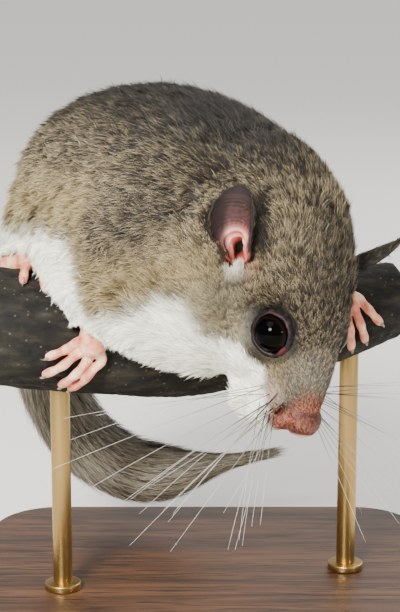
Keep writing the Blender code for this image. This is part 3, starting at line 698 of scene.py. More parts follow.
fleshNodes = ("head", "neck", "chest", "loins", "rump", "upper_arm_left", "upper_arm_right", "forearm_left",
              "forearm_right", "thigh_left", "thigh_right", "shank_left", "shank_right")
skinShape = {"swell": 0.28, "voxel": 0.62, "smooth": 5}
eyeShape = {
    "place": (-0.8, 9.35, -0.1), "radius": 4.05, "axis": (0.22, 0.95, 0.18),
    # how high the skin may stand round the eye: distance across, distance out
    "socket": ((0.0, -2.0), (4.0, -0.8), (4.5, -0.1), (5.2, 0.25), (6.4, 0.8), (8.5, 3.0)),
}
earRoot = (-14.6, 15.5, 1.6)
earShape = {
    "sunk": 1.2, "length": 16.5, "thick": 0.8, "canal": 2.2,
    # the way each ear stands and the way its cup faces, along the skull
    "right": ((-12.5, -5.5, 9.8), (0.47, -0.84, 0.27)),
    "left": ((0.2, 9.3, 11.2), (0.86, 0.5, -0.1)),
    # up the ear: share of its length, radius of the curl, half angle of the curl in degrees
    "curl": ((-0.12, 2.0, 150.0), (0.05, 2.15, 142.0), (0.16, 2.6, 120.0), (0.29, 2.95, 100.0),
             (0.395, 3.65, 88.0), (0.487, 4.25, 76.0), (0.59, 4.75, 67.0), (0.75, 5.2, 53.0),
             (0.855, 5.4, 39.0), (0.947, 6.0, 19.5), (0.985, 6.0, 8.5), (1.0, 6.0, 2.0)),
    "narrow": {1: (0.9, 0.78), -1: (1.0, 1.0)},     # the far ear is furled tighter: radius, half angle
    # up the ear: how far its middle leans back, in millimetres
    "lean": ((-0.12, 0.1), (0.158, 0.25), (0.29, 0.65), (0.395, 1.2), (0.487, 1.5), (0.59, 1.6),
             (0.75, 1.3), (0.86, 0.9), (1.0, 0.5)),
    "columns": 72,
}


def eyeFrame(side):
    # an eye's middle and the way it looks, along the skull
    return np.array(eyeShape["place"]) * (1, side, 1), unit(np.array(eyeShape["axis"]) * (1, side, 1))


def roundEye(onHead, side):
    # for points near an eye: millimetres out along its look, and across from it
    place, out = eyeFrame(side)
    gap = onHead - place
    tall = gap @ out
    return tall, np.linalg.norm(gap - tall[:, None] * out, axis=1)


def earAxes(side):
    stance = earShape["right" if side < 0 else "left"]
    upward = unit(stance[0])
    facing = np.array(stance[1])
    facing = unit(facing - upward * (facing @ upward))
    root = np.array(earRoot) * (1, side, 1) - facing * earShape["sunk"]
    return upward, facing, np.cross(upward, facing), root


def cupOf(onHead, side):
    # for points near an ear: share up it, millimetres across and out from the cup's floor, the cup's radius
    upward, facing, across, root = earAxes(side)
    gap = onHead - root
    share = (gap @ upward) / earShape["length"]
    radius = np.interp(share, *np.array(earShape["curl"])[:, :2].T) * earShape["narrow"][side][0]
    lean = np.interp(share, *zip(*earShape["lean"])) * side
    floor = -1.6 * share ** 2 - earShape["canal"] * ease(share, 0.34, 0.04)
    return share, gap @ across - lean, gap @ facing - floor, radius


def mergedCopy(node, swell):
    # a node's loose triangles merged, and swelled a little to close the gap to its neighbours
    shape = bmesh.new()
    shape.from_mesh(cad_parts[node].data)
    bmesh.ops.remove_doubles(shape, verts=shape.verts, dist=1e-6)
    bmesh.ops.recalc_face_normals(shape, faces=shape.faces)
    shape.normal_update()
    for v, way in [(v, v.normal.copy()) for v in shape.verts]:
        v.co += way * swell * mm
    return shape


def makeSkin():
    whole = bmesh.new()
    owners, places = [], []
    scrap = bpy.data.meshes.new("scrap")
    for number, node in enumerate(fleshNodes):
        shape = mergedCopy(node, skinShape["swell"])
        places += [v.co.copy() for v in shape.verts]
        owners += [number] * len(shape.verts)
        shape.to_mesh(scrap)
        whole.from_mesh(scrap)
        shape.free()
    mesh = bpy.data.meshes.new("skin")
    whole.to_mesh(mesh)
    whole.free()
    bpy.data.meshes.remove(scrap)
    skin = bpy.data.objects.new("skin", mesh)
    bpy.context.scene.collection.objects.link(skin)
    useModifier(skin, "REMESH", mode="VOXEL", voxel_size=skinShape["voxel"] * mm)
    useModifier(skin, "SMOOTH", factor=0.5, iterations=skinShape["smooth"])
    tree = kdtree.KDTree(len(places))
    for index, place in enumerate(places):
        tree.insert(place, index)
    tree.balance()
    owner = np.array([owners[tree.find(v.co)[1]] for v in skin.data.vertices])
    return skin, owner


skin, skinOwner = makeSkin()
print("skin fused:", len(skin.data.polygons), "faces")

# What the coat does over the skin: how long, which way, which colour

coat = {
    # by node: length of the hair
    "length": {"head": 3.2, "neck": 4.4, "chest": 5.0, "loins": 5.4, "rump": 5.8, "upper_arm_left": 4.2,
               "upper_arm_right": 4.4, "forearm_left": 2.8, "forearm_right": 3.0, "thigh_left": 5.4,
               "thigh_right": 5.4, "shank_left": 2.8, "shank_right": 2.8},
    # the head's hair instead: place forward on the skull, length
    "headLength": ((-22.0, 5.4), (-12.0, 4.4), (-4.0, 3.4), (3.0, 2.4), (8.0, 1.9), (12.0, 1.4), (16.0, 0.9),
                   (19.0, 0.55)),
    "parting": (21.0, 0.0, -7.0),       # where the head's hair parts, in front of the nose
    # the middle of the dark back: forward, left
    "ridge": ((-85.0, 13.0), (-40.0, 5.0), (-17.0, -2.0), (0.0, 0.0)),
    "sunk": 0.40,                       # share of its length that the hair stands over the skin
    "ahead": 0.62,                      # share of its length from the root to where its colour is seen
    # which way the hair lies, along the trunk's forward, left and up
    "lie": {"neck": (-0.75, 0.0, 0.25), "chest": (-0.95, 0.0, -0.15), "loins": (-1.0, 0.0, -0.1),
            "rump": (-0.9, 0.0, -0.35), "upper_arm_left": (-0.6, 0.5, -0.4),
            "upper_arm_right": (-0.9, -0.2, -0.2), "forearm_left": (0.7, -0.1, -0.6),
            "forearm_right": (-0.2, -0.15, -0.9), "thigh_left": (-0.3, 0.4, -0.7),
            "thigh_right": (-0.3, -0.4, -0.7),
            "shank_left": (0.3, -0.7, -0.6), "shank_right": (-0.8, -0.2, -0.4)},
    "fall": 0.12,                       # how much more it falls on the flanks
    # white begins below these: place forward on the skull, height; then the same on the trunk
    "whiteHead": ((-24.0, -16.0), (-14.0, -15.0), (-12.3, -10.6), (-11.0, -8.6), (-8.9, -8.8), (-6.1, -10.4),
                  (-3.2, -9.8), (-1.5, -6.8), (1.4, -5.5), (3.2, -4.9), (5.6, -5.5), (7.7, -7.4),
                  (12.0, -8.6), (20.0, -8.6)),
    "whiteBody": ((-90.0, 11.0), (-67.0, 17.0), (-50.0, 19.5), (-40.0, 19.5), (-37.6, 15.0), (-35.9, 9.0),
                  (-34.9, 4.2), (-30.9, 4.0), (-25.7, 5.7), (-20.8, 7.3), (-15.5, 9.2), (-10.0, 8.5),
                  (0.0, 3.0)),
    # a pale tuft that stands out behind the far ear: place on the skull, reach, world direction
    "ruff": ((-20.5, 19.0, 4.5), 4.0, (0.62, 0.1, 0.75)),
}


def skinLand(skin, owner):
    # what the coat's rules read: places, normals, neighbours and the node each point came from
    points = pointsOf(skin.data)
    return {"points": points, "normals": normalsOf(skin.data), "edges": edgesOf(skin.data), "owner": owner,
            "onHead": toSkull(points), "isHead": (owner == fleshNodes.index("head")).astype(float)}


def hangOf(land):
    # where fur hangs under the body, just over the branch
    over = onBark(land["points"][:, 0] / mm - eyesMiddle[0], 90.0, 0.0)
    low = ease(land["points"][:, 2] / mm - over[:, 2], 16.0, 4.0)
    return low * ease(-land["normals"][:, 2], -0.3, 0.4) * (1 - land["isHead"])


def hairLengths(land, hang):
    # by node, and from nape to nose on the head; shorter by the eyes, ears and wrists and over the branch
    onHead = land["onHead"]
    f, l, u = onHead.T
    onFace = np.interp(f, *zip(*coat["headLength"])) + 1.6 * ease(u, -8, -14) * ease(f, 12, 2)
    length = np.array([coat["length"][node] for node in fleshNodes])[land["owner"]]
    length = np.where(land["isHead"] > 0, onFace, length) * (1 - 0.42 * hang)
    length = spread(length, land["edges"], 14)
    for side in (1, -1):
        away = np.linalg.norm(onHead - eyeFrame(side)[0], axis=1)
        length = length * (1 - 0.72 * ease(away, 9.0, 5.2))
        ear = np.array(earRoot) * (1, side, 1)
        length = length * (1 - 0.45 * bell(np.linalg.norm(onHead - ear, axis=1), 5.0))
    for spec in paws.values():
        away = np.linalg.norm(land["points"] / mm - onBark(*spec["wrist"][:3]), axis=1)
        length = length * (1 - 0.62 * ease(away, 14.0, 4.0))
    return length


def hairLie(land):
    # away from the nose on the head, along each limb and the trunk elsewhere, then evened out
    normals, edges = land["normals"], land["edges"]
    lie = np.zeros_like(land["points"])
    for number, node in enumerate(fleshNodes):
        here = land["owner"] == number
        if node == "head":
            lie[here] = unit(land["onHead"][here] - coat["parting"]) @ skullAxes
        else:
            lie[here] = unit(coat["lie"][node]) @ bodyAxes
    lie[:, 2] -= coat["fall"] * (1 - np.abs(normals[:, 2])) * (1 - land["isHead"])
    lie = flatOn(spread(lie, edges, 60), normals)
    return unit(flatOn(unit(spread(unit(lie), edges, 10)), normals))


def thinned(land, length):
    # bare round the eyes and inside the ears' cups, short close to the cups
    onHead = land["onHead"]
    thin = np.ones(len(onHead))
    for side in (1, -1):
        tall, away = roundEye(onHead, side)
        thin = thin * np.where(tall > -1.0, ease(away, 4.15, 4.5), 1.0)
        share, wide, tall, radius = cupOf(onHead, side)
        away = np.hypot(wide, tall - radius)
        thin = thin * np.where((share > -0.02) & (share < 1.0), ease(away, radius + 0.2, radius + 1.0), 1.0)
        before = (share > -0.03) & (share < 0.36) & (tall > -1.0) & (tall < 9.0)
        thin = thin * np.where(before, ease(np.abs(wide), 2.1, 3.0), 1.0)
        length = length * np.where(before & (np.abs(wide) < 5.0), 0.6, 1.0)
        close = ease(away, radius + 3.6, radius + 0.8) * ease(share, -0.1, 0.1) * ease(share, 1.2, 0.9)
        length = length * (1 - 0.6 * close)
    return thin, length


def marksOnBody(land, seen, wander):
    # white below, dark along the back and crown, warm at the border of the two
    isHead, edges = land["isHead"], land["edges"]
    f, l, u = toSkull(seen).T
    b, s, h = toBody(seen).T
    belowHead = np.interp(f, *zip(*coat["whiteHead"])) - u
    belowBody = np.interp(b, *zip(*coat["whiteBody"])) - h
    onFace = isHead * ease(f, -13.2, -11.2)
    whiteHead, whiteBody = ease(belowHead + wander, -1.1, 1.1), ease(belowBody + 1.2 * wander, -1.7, 1.7)
    white = spread(whiteHead * onFace + whiteBody * (1 - onFace), edges, 3)
    warmHead, warmBody = bell(belowHead + 3.4, 3.2) * ease(f, 13, 4), 0.8 * bell(belowBody + 6.0, 5.5)
    warm = spread(warmHead * onFace + warmBody * (1 - onFace), edges, 6)
    ridge = np.interp(b, *zip(*coat["ridge"]))
    back, nape = ease(h, 24, 46) * bell(s - ridge, 26.0), 0.42 * bell(b + 22.0, 12.0) * ease(h, 12, 26)
    crown = 0.5 * ease(u, 1.0, 8.0) * bell(l, 13.0) * ease(f, 9, -6)
    dark = spread(np.where(isHead > 0, crown, np.maximum(back, nape)), edges, 20)
    return white, dark, warm


def marksByEyesAndEars(onHead, white, dark):
    # dark rings and streaks at the eyes; beside each ear dark hair with painted shadow, as if cast by the
    # ear; under it a pale tuft and a flush
    flushed = np.zeros(len(onHead))
    for side in (1, -1):
        tall, away = roundEye(onHead, side)
        outside = np.where(tall > -2.0, 1.0, 0.0)
        dark = np.maximum(dark, ease(away, 7.4, 5.7) * outside)
        white = white * (1 - ease(away, 7.8, 6.5) * outside)
        dark = np.maximum(dark, 0.35 * spot(onHead, (6.5, 8.4 * side, -1.5), (4.0, 5.0, 1.6)))
        upward, facing, across, root = earAxes(side)
        gap = onHead - root
        high, wide = gap @ upward, gap @ across * -side
        nearBy = ease(np.abs(gap @ facing), 9.0, 6.0)
        # dark hair and painted shadow beside the ear, on its side toward the eye
        dark = np.maximum(dark, bell(np.hypot((high - 9.0) / 7.0, (wide - 3.9) / 2.4) ** 2, 1.0) * nearBy)
        white = np.maximum(white, 0.85 * bell(np.hypot((high - 0.6) / 1.7, (wide + 0.5) / 1.4), 1.0) * nearBy)
        flushed = flushed + 0.6 * nearBy * bell(np.hypot((high - 1.8) / 2.4, (wide - 2.0) / 1.3), 1.0)
    return white, dark, flushed


def marksOnMuzzle(onHead, isHead, wander, white, dark, flushed):
    # grizzled on top almost to the nose, rosy whisker pads, red-brown round the nostrils, painted shade in
    # the groove at each nostril, a white lip
    f, l, u = onHead.T
    pale = spot(onHead, (9.0, 0, 0.5), (6.0, 9.0, 6.0)) * ease(f, 15.5, 12.0)
    cheek = ease(u, 3.0, -4.0) * ease(f, 2.0, -3.0) * ease(f, -17.0, -9.0)
    white = np.maximum(white, isHead * np.maximum(0.12 * pale, 0.10 * cheek))
    pad = spot(onHead, (10.0, 0, -6.6), (2.4, 99.0, 2.1))
    tip = ease(f + 1.1 * wander, 11.2, 15.6) * ease(u, -13.0, -10.0)
    pink = isHead * np.clip(np.maximum(tip, 0.62 * pad), 0, 1)
    white = np.maximum(white * (1 - 0.5 * pink), 0.45 * isHead * pad)
    lip = isHead * ease(f, 9.0, 14.0) * ease(u, -9.4, -11.4)
    white = np.maximum(white, 0.85 * lip)
    pink = np.maximum(pink * (1 - 0.75 * lip), flushed * (1 - white))
    for side in (1, -1):
        chin = spot(onHead, (8.6, 7.0 * side, -14.5), (2.4, 3.0, 2.0))
        pink = np.maximum(pink, 0.45 * isHead * chin)
        # painted shade: the fur darkened in the groove beside each nostril
        groove = spot(onHead, (14.3, 5.6 * side, -6.3), (1.1, 1.6, 2.2))
        dark = np.maximum(dark, 0.85 * isHead * groove)
    return white, dark, pink


def coatFields(skin, owner):
    # the coat's length, lie, markings and thinness at each point of the skin
    land = skinLand(skin, owner)
    hang = hangOf(land)
    length, lie = hairLengths(land, hang), hairLie(land)
    place, reach, way = coat["ruff"]
    ruff = bell(np.linalg.norm(land["onHead"] - place, axis=1), reach)
    length = length * (1 + ruff)
    lie = unit(lie * (1 - ruff)[:, None] + unit(way) * 1.5 * ruff[:, None])
    lie = unit(flatOn(lie, land["normals"]))
    thin, length = thinned(land, length)

    # the markings are read where each hair's colour is seen, not at its root
    seen = land["points"] + lie * (length * coat["ahead"] * mm)[:, None]
    onHead = toSkull(seen)
    wander = ripple(land["points"], 7.0, 3) * 0.6 + ripple(land["points"], 2.6, 4) * 0.5
    white, dark, warm = marksOnBody(land, seen, wander)
    white, dark, flushed = marksByEyesAndEars(onHead, white, dark)
    white = np.maximum(white, 0.25 * ruff)
    white, dark, pink = marksOnMuzzle(onHead, land["isHead"], wander, white, dark, flushed)
    marks = np.stack([np.clip(field, 0, 1) for field in (white, dark, warm, pink)], -1)
    return {"length": length, "lie": lie, "marks": marks, "thin": thin, "rise": 22.0 * ruff,
            "drawn": 1.6 * spread(hang, land["edges"], 12)}


paws = {
    # wrist and palm: x, angle round the branch from its top toward the front, lift, radius
    "handRight": {"node": "hand_right", "wrist": (-45.6, 62.0, 3.0, 3.3), "palm": (-46.0, 84.0, 2.2, 3.2),
                  "digit": 1.08,
                  "knuckles": ((-48.8, 84.0), (-48.6, 93.0), (-46.8, 99.0), (-44.2, 98.0)),
                  "tips": ((-54.4, 100.0), (-54.8, 120.0), (-51.4, 134.0), (-49.4, 138.0))},
    "handLeft": {"node": "hand_left", "wrist": (6.4, 34.0, 3.2, 3.0), "palm": (9.0, 50.0, 2.2, 2.8),
                 "digit": 1.08,
                 "knuckles": ((7.0, 66.0), (9.0, 70.0), (11.0, 68.0), (12.6, 60.0)),
                 "tips": ((6.6, 112.0), (9.2, 120.0), (12.4, 116.0), (16.2, 98.0))},
    "footRight": {"node": "foot_right", "wrist": (-67.0, -48.0, 3.0, 3.4), "palm": (-61.0, -20.0, 2.3, 3.1),
                  "digit": 1.12,
                  "knuckles": ((-61.5, 2.0), (-59.0, 4.0), (-56.6, 2.0), (-54.8, -4.0), (-54.0, -14.0)),
                  "tips": ((-61.5, 30.0), (-56.5, 38.0), (-52.5, 34.0), (-49.0, 22.0), (-47.4, 0.0))},
    "footLeft": {"node": "foot_left", "wrist": (-23.5, -60.0, 3.0, 3.4), "palm": (-18.0, -28.0, 2.3, 3.1),
                 "digit": 1.12,
                 "knuckles": ((-18.5, -2.0), (-16.0, 0.0), (-13.6, -2.0), (-11.8, -10.0), (-11.0, -22.0)),
                 "tips": ((-18.5, 30.0), (-14.5, 38.0), (-10.0, 34.0), (-6.5, 20.0), (-5.0, -8.0))},
}

fields = coatFields(skin, skinOwner)


def unwrap(thing):
    pickOnly(thing)
    bpy.ops.object.mode_set(mode="EDIT")
    bpy.ops.mesh.select_all(action="SELECT")
    bpy.ops.uv.smart_project(angle_limit=math.radians(66), island_margin=0.002)
    bpy.ops.object.mode_set(mode="OBJECT")


def sinkSkin(skin, fields):
    # draws the skin in under the coat, sets the eyes' sockets in and clears the ears' cups
    mesh = skin.data
    points, normals, edges = pointsOf(mesh), normalsOf(mesh), edgesOf(mesh)
    depth = fields["length"] * coat["sunk"] + skinShape["swell"] + fields["drawn"]
    points = points - normals * (depth * mm)[:, None]
    points = points + (spread(points, edges, 3) - points) * 0.6
    onHead = toSkull(points)
    for side in (1, -1):
        out = eyeFrame(side)[1]
        tall, away = roundEye(onHead, side)
        ceiling = np.interp(away, *zip(*eyeShape["socket"]))
        over = np.where((away < 8.5) & (tall > -6.0), np.maximum(tall - ceiling, 0.0), 0.0)
        onHead = onHead - over[:, None] * out
        facing = earAxes(side)[1]
        share, wide, tall, radius = cupOf(onHead, side)
        inside = (np.hypot(wide, tall - radius) < radius + 0.5) & (share < 1.0) & (share > -0.1)
        inside |= (np.abs(wide) < 2.2) & (tall > 0) & (tall < 8.0) & (share > -0.03) & (share < 0.5)
        wall = radius - np.sqrt(np.maximum((radius + 1.2) ** 2 - wide ** 2, 0.0))
        push = np.where(inside, np.maximum(tall - wall, 0.0), 0.0) * ease(share, -0.1, 0.03)
        onHead = onHead - push[:, None] * facing
        # the muzzle draws in behind the nose, with a groove at the nostril and a fuller lip below
        f, l, u = onHead.T
        way = l * side > 0
        onHead[:, 1] -= np.where(way, l * 0.14 * ease(f, 12.2, 15.0) * ease(u, -10.5, -8.0), 0.0)
        groove = spot(onHead, (14.3, 5.6 * side, -6.3), (1.5, 1.6, 2.6))
        onHead = onHead - (groove * 1.1)[:, None] * unit((0.1, side, 0.2))
        chin = spot(onHead, (8.6, 6.2 * side, -14.0), (3.8, 3.6, 3.2))
        onHead = onHead + (chin * 1.9)[:, None] * unit((0.33, 0.5 * side, -0.79))
    points = fromSkull(onHead)
    movePoints(mesh, points)


sinkSkin(skin, fields)
useModifier(skin, "TRIANGULATE")
smoothAll(skin.data)
setColours(skin.data, "marks", fields["marks"])
unwrap(skin)
print("skin:", len(skin.data.polygons), "triangles")


def furRamps(tree, along):
    # the colours along one hair of each kind of coat
    kinds = {
        "ticked": ((0.0, "15110e"), (0.40, "271f18"), (0.60, "4e4230"), (0.80, "9c8866"), (1.0, "eadab2")),
        "guard": ((0.0, "15120f"), (0.5, "2a241c"), (0.8, "1d1913"), (1.0, "0f0c09")),
        "white": ((0.0, "cfcab4"), (0.35, "f7f4e2"), (1.0, "fffff0")),
        "warm": ((0.0, "382f20"), (0.5, "78663f"), (1.0, "d3bd84")),
        "pink": ((0.0, "2e120b"), (0.45, "6b3222"), (1.0, "bd8068")),
    }
    return {name: ramp(tree, along, *stops) for name, stops in kinds.items()}


def coatColour(tree, along, tint):
    # one colour from the markings, the place along the hair and the hair's own tint
    ramps = furRamps(tree, along)
    marks = add(tree, "ShaderNodeAttribute", attribute_name="marks")
    parts = add(tree, "ShaderNodeSeparateColor", links={"Color": marks.outputs["Color"]})
    white, dark, warm = (parts.outputs[name] for name in ("Red", "Green", "Blue"))
    # three or four hairs in ten are dark guard hairs, more of them along the back
    level = reckon(tree, "ADD", tint, reckon(tree, "MULTIPLY", dark, 0.42))
    colour = mixed(tree, ranged(tree, level, fromMin=0.56, fromMax=0.72), ramps["ticked"], ramps["guard"])
    colour = mixed(tree, reckon(tree, "MULTIPLY", warm, 0.62), colour, ramps["warm"])
    colour = mixed(tree, reckon(tree, "MULTIPLY", dark, 0.82), colour, "14110e")
    colour = mixed(tree, white, colour, ramps["white"])
    colour = mixed(tree, marks.outputs["Alpha"], colour, ramps["pink"])
    value = ranged(tree, tint, toMin=0.56, toMax=1.34)
    return add(tree, "ShaderNodeHueSaturation", links={"Color": colour, "Value": value}).outputs["Color"]


def strandOf(tree):
    # a hair's own tint and the place along it
    strand = add(tree, "ShaderNodeUVMap", uv_map="strand")
    parts = add(tree, "ShaderNodeSeparateXYZ", links={"Vector": strand.outputs["UV"]})
    return parts.outputs["X"], parts.outputs["Y"]


def furMaterial():
    # soft agouti hair: slate at the root, buff band, cream or dark tip; dull with a slight silky glance
    made, tree, surface = blank("agoutiHair", Roughness=0.62, Specular_IOR_Level=0.28)
    tint, along = strandOf(tree)
    paint(tree, surface, coatColour(tree, along, tint))
    return made


def underCoatMaterial():
    # the skin seen between the hairs: the coat's own colours, shaded deep, with a short woolly bump
    made, tree, surface = blank("underWool", Roughness=0.9, Specular_IOR_Level=0.1)
    wool = cloudy(tree, placeIn(tree), 1500.0, 3.0)
    paint(tree, surface, coatColour(tree, ranged(tree, wool, toMin=0.15, toMax=0.6), wool))
    dent(tree, surface, wool, 0.6, 0.0003)
    return made


finishPiece(skin, underCoatMaterial(), fleshNodes)

# Coat: thin bent blades that lie over one another


def surfaceOf(thing, fields):
    # a triangle mesh as arrays, with the coat's fields at its points
    mesh = thing.data
    triangles = np.zeros(len(mesh.polygons) * 3, np.int32)
    mesh.polygons.foreach_get("vertices", triangles)
    corners = np.zeros(len(mesh.loops) * 2, np.float32)
    mesh.uv_layers[0].data.foreach_get("uv", corners)
    return {"points": pointsOf(mesh), "normals": normalsOf(mesh), "triangles": triangles.reshape(-1, 3),
            "map": corners.reshape(-1, 3, 2), **fields}


bakePatch = 0.003                       # size of one tuft's patch on the unwrap


def bladeObject(name, spine, halfWidths, side, along, tint, marks, rootMap):
    # spine is hairs x places x 3; a hair is a point at its root and tip and two points wide between
    count, places = spine.shape[:2]
    inner = spine[:, 1:-1]
    aside = side[:, None] * halfWidths[:, :, None]
    pairs = np.stack([inner - aside, inner + aside], 2).reshape(count, -1, 3)
    points = np.concatenate([spine[:, :1], pairs, spine[:, -1:]], 1)
    each = points.shape[1]
    faces = [(0, 2, 1)]
    for row in range(places - 3):
        a = 1 + row * 2
        faces += [(a, a + 1, a + 3), (a, a + 3, a + 2)]
    faces.append((each - 3, each - 2, each - 1))
    triangles = (np.array(faces)[None] + np.arange(count)[:, None, None] * each).reshape(-1, 3)
    made = meshFromArrays(name, points.reshape(-1, 3), triangles)
    # the same four markings as the skin's, for each hair from its root
    setColours(made.data, "marks", np.repeat(marks, each, 0))
    steps = np.concatenate([along[:1], np.repeat(along[1:-1], 2), along[-1:]])
    strand = np.stack([np.repeat(tint[:, None], each, 1), np.repeat(steps[None], count, 0)], -1)
    aside = np.concatenate([[0.0], np.tile((-0.5, 0.5), places - 2), [0.0]])
    patch = rootMap[:, None] + np.stack([aside, steps - 0.5], -1)[None] * bakePatch
    for layerName, values in (("strand", strand), ("OFBake", patch)):
        layer = made.data.uv_layers.new(name=layerName)
        layer.data.foreach_set("uv", values.reshape(-1, 2)[triangles.ravel()].astype(np.float32).ravel())
    return made


def rootsOver(surface, chosen, spec, draw):
    # evenly picked places on the chosen triangles, closer together where the hair is short; gives a function
    # that reads any of the surface's fields at the places, and their places on the unwrap
    triangle = surface["triangles"][chosen]
    corner = surface["points"][triangle]
    area = np.linalg.norm(np.cross(corner[:, 1] - corner[:, 0], corner[:, 2] - corner[:, 0]), axis=1)
    weight = area * (spec.get("even", 6.0) / surface["length"][triangle].mean(1)) ** 0.8
    total = np.cumsum(weight * surface["thin"][triangle].mean(1))
    count = spec["count"]
    picked = np.searchsorted(total, (np.arange(count) + draw.random(count)) / count * total[-1])
    picked = np.minimum(picked, len(chosen) - 1)
    root, fall = np.sqrt(draw.random(count)), draw.random(count)
    share = np.stack([1 - root, root * (1 - fall), root * fall], -1)[..., None]

    def blend(name):
        values = surface[name].reshape(len(surface["points"]), -1)
        return (values[triangle[picked]] * share).sum(1)

    return blend, (surface["map"][chosen][picked] * share).sum(1)


def nearestTuft(place, apart):
    # hairs stand in small tufts: for each hair, the hair at the middle of its tuft
    tree = kdtree.KDTree(len(place) // apart + 1)
    for index in range(0, len(place), apart):
        tree.insert(place[index], index)
    tree.balance()
    return np.array([tree.find(p)[1] for p in place])


def growCoat(name, surface, chosen, spec):
    draw, seed, count = np.random.default_rng(spec["seed"]), spec["seed"], spec["count"]
    blend, rootMap = rootsOver(surface, chosen, spec, draw)
    place, normal, lie = blend("points"), unit(blend("normals")), blend("lie")
    nearest = nearestTuft(place, spec["tuft"])

    # each tuft has its own way and shade, and each hair strays a little from it
    swing = np.radians(spec["swing"]) * (ripple(place, 9.0, seed) + 0.6 * ripple(place, 3.0, seed + 1))
    swing += np.radians(spec["stray"]) * (draw.normal(size=count)[nearest] + 0.45 * draw.normal(size=count))
    lie = unit(flatOn(lie, normal))
    lie = lie * np.cos(swing)[:, None] + np.cross(lie, normal) * np.sin(swing)[:, None]
    roll = np.radians(draw.uniform(-spec["roll"], spec["roll"], count))[:, None]
    side = unit(np.cross(lie, normal)) * np.cos(roll) + normal * np.sin(roll)
    length = blend("length")[:, 0] * mm * draw.uniform(0.72, 1.12, count)
    tint = 0.62 * draw.random(count)[nearest] + 0.38 * draw.random(count)
    long = draw.random(count) < spec["guards"]
    length = length * np.where(long, spec["guardLength"], 1.0)
    lift = spec["lift"] * (1 + 0.22 * draw.normal(size=count)[nearest] + 0.12 * draw.normal(size=count))
    lift = np.radians(lift + 7.0 * ripple(place, 5.0, seed + 2) + blend("rise")[:, 0])
    start = place - normal * 0.12 * mm
    spine = [start]
    for angle in (lift, lift * spec["bend"]):
        way = lie * np.cos(angle)[:, None] + normal * np.sin(angle)[:, None]
        spine.append(spine[-1] + way * (length * 0.5)[:, None])

    # a tuft's tips draw together
    pull = flatOn(place[nearest] - place, normal)
    reach = np.minimum(1.0, length / np.maximum(np.linalg.norm(pull, axis=1), 1e-9) * 0.6)[:, None]
    pull = pull * spec["gather"] * draw.uniform(0.5, 1.2, count)[:, None] * reach
    spine = np.stack([start, spine[1] + pull * 0.45, spine[2] + pull], 1)
    width = spec["width"] * mm * draw.uniform(0.7, 1.25, count) * np.where(long, 0.8, 1.0)
    steps = np.array((0.0, 0.5, 1.0))
    return bladeObject(name, spine, width[:, None] * 0.5, side, steps, tint, blend("marks"), rootMap)


fur = furMaterial()
surface = surfaceOf(skin, fields)
triangleOwner = np.array([np.bincount(skinOwner[corners]).argmax() for corners in surface["triangles"]])
groupOf = {
    "coatNeck": ("neck",), "coatChest": ("chest",), "coatLoins": ("loins",), "coatRump": ("rump",),
    "coatArms": ("upper_arm_left", "upper_arm_right", "forearm_left", "forearm_right"),
    "coatLegs": ("thigh_left", "thigh_right", "shank_left", "shank_right"),
}
body = {"width": 0.17, "lift": 35.0, "bend": 0.42, "swing": 9.0, "stray": 19.0, "roll": 40.0, "guards": 0.08,
        "guardLength": 1.25, "tuft": 9, "gather": 0.62}
coatPieces = {
    "coatFace": {**body, "count": 78000, "seed": 11, "width": 0.11, "lift": 23.0, "tuft": 6, "gather": 0.5,
                 "swing": 6.0, "bend": 0.3, "stray": 14.0},
    "coatCrown": {**body, "count": 78000, "seed": 12, "width": 0.12, "lift": 27.0, "tuft": 6, "gather": 0.5,
                  "stray": 17.0},
    "coatNeck": {**body, "count": 50000, "seed": 13},
    "coatChest": {**body, "count": 90000, "seed": 14},
    "coatLoins": {**body, "count": 96000, "seed": 15},
    "coatRump": {**body, "count": 66000, "seed": 16},
    "coatArms": {**body, "count": 74000, "seed": 17, "width": 0.15, "lift": 28.0},
    "coatLegs": {**body, "count": 60000, "seed": 18, "width": 0.15, "lift": 28.0},
}
centreOnHead = toSkull(surface["points"][surface["triangles"]].mean(1))
for name, spec in coatPieces.items():
    if name in groupOf:
        chosen = np.flatnonzero(np.isin(np.array(fleshNodes)[triangleOwner], groupOf[name]))
    else:
        isFace = centreOnHead[:, 0] > -4.5
        chosen = np.flatnonzero((triangleOwner == 0) & (isFace if name == "coatFace" else ~isFace))
    finishPiece(growCoat(name, surface, chosen, spec), fur)
    print(name, spec["count"])

# Eyes


def eyeMaterial():
    # wet cornea over an almost black iris: clear small glints, a trace of brown toward the rim
    made, tree, surface = blank("wetEye", Roughness=0.03, IOR=1.3, Specular_IOR_Level=0.1)
    stops = (0.0, "010101"), (0.55, "030202"), (0.85, "120a07"), (1.0, "050302")
    paint(tree, surface, ramp(tree, layerOf(tree, "rim"), *stops))
    return made


def makeEye(name, side):
    bpy.ops.object.select_all(action="DESELECT")
    bpy.ops.mesh.primitive_uv_sphere_add(segments=64, ring_count=40, radius=eyeShape["radius"] * mm)
    eye = bpy.context.object
    eye.name = name
    place, out = eyeFrame(side)
    place, out = fromSkull(place), out @ skullAxes
    turned = Vector(out).to_track_quat("Z", "Y").to_matrix().to_4x4()
    eye.data.transform(Matrix.Translation(Vector(place)) @ turned)
    eye.data.update()
    points = pointsOf(eye.data)
    facing = unit(points - place) @ out
    setLayer(eye.data, "rim", ease(facing, 1.0, 0.35))
    smoothAll(eye.data)
    return eye


wet = eyeMaterial()
finishPiece(makeEye("eyeRight", -1), wet, ("eye_right",))
finishPiece(makeEye("eyeLeft", 1), wet, ("eye_left",))
print("eyes")

lidShape = {
    # from the eye's middle: distance across, distance out
    "profile": ((3.90, 0.5), (3.91, 0.86), (4.00, 1.02), (4.12, 1.03), (4.28, 0.88), (4.46, 0.6),
                (4.75, 0.15), (5.2, -0.6)),
    "steps": 96,
    "canthus": 0.4,                     # how far the inner corner draws toward the nose
}


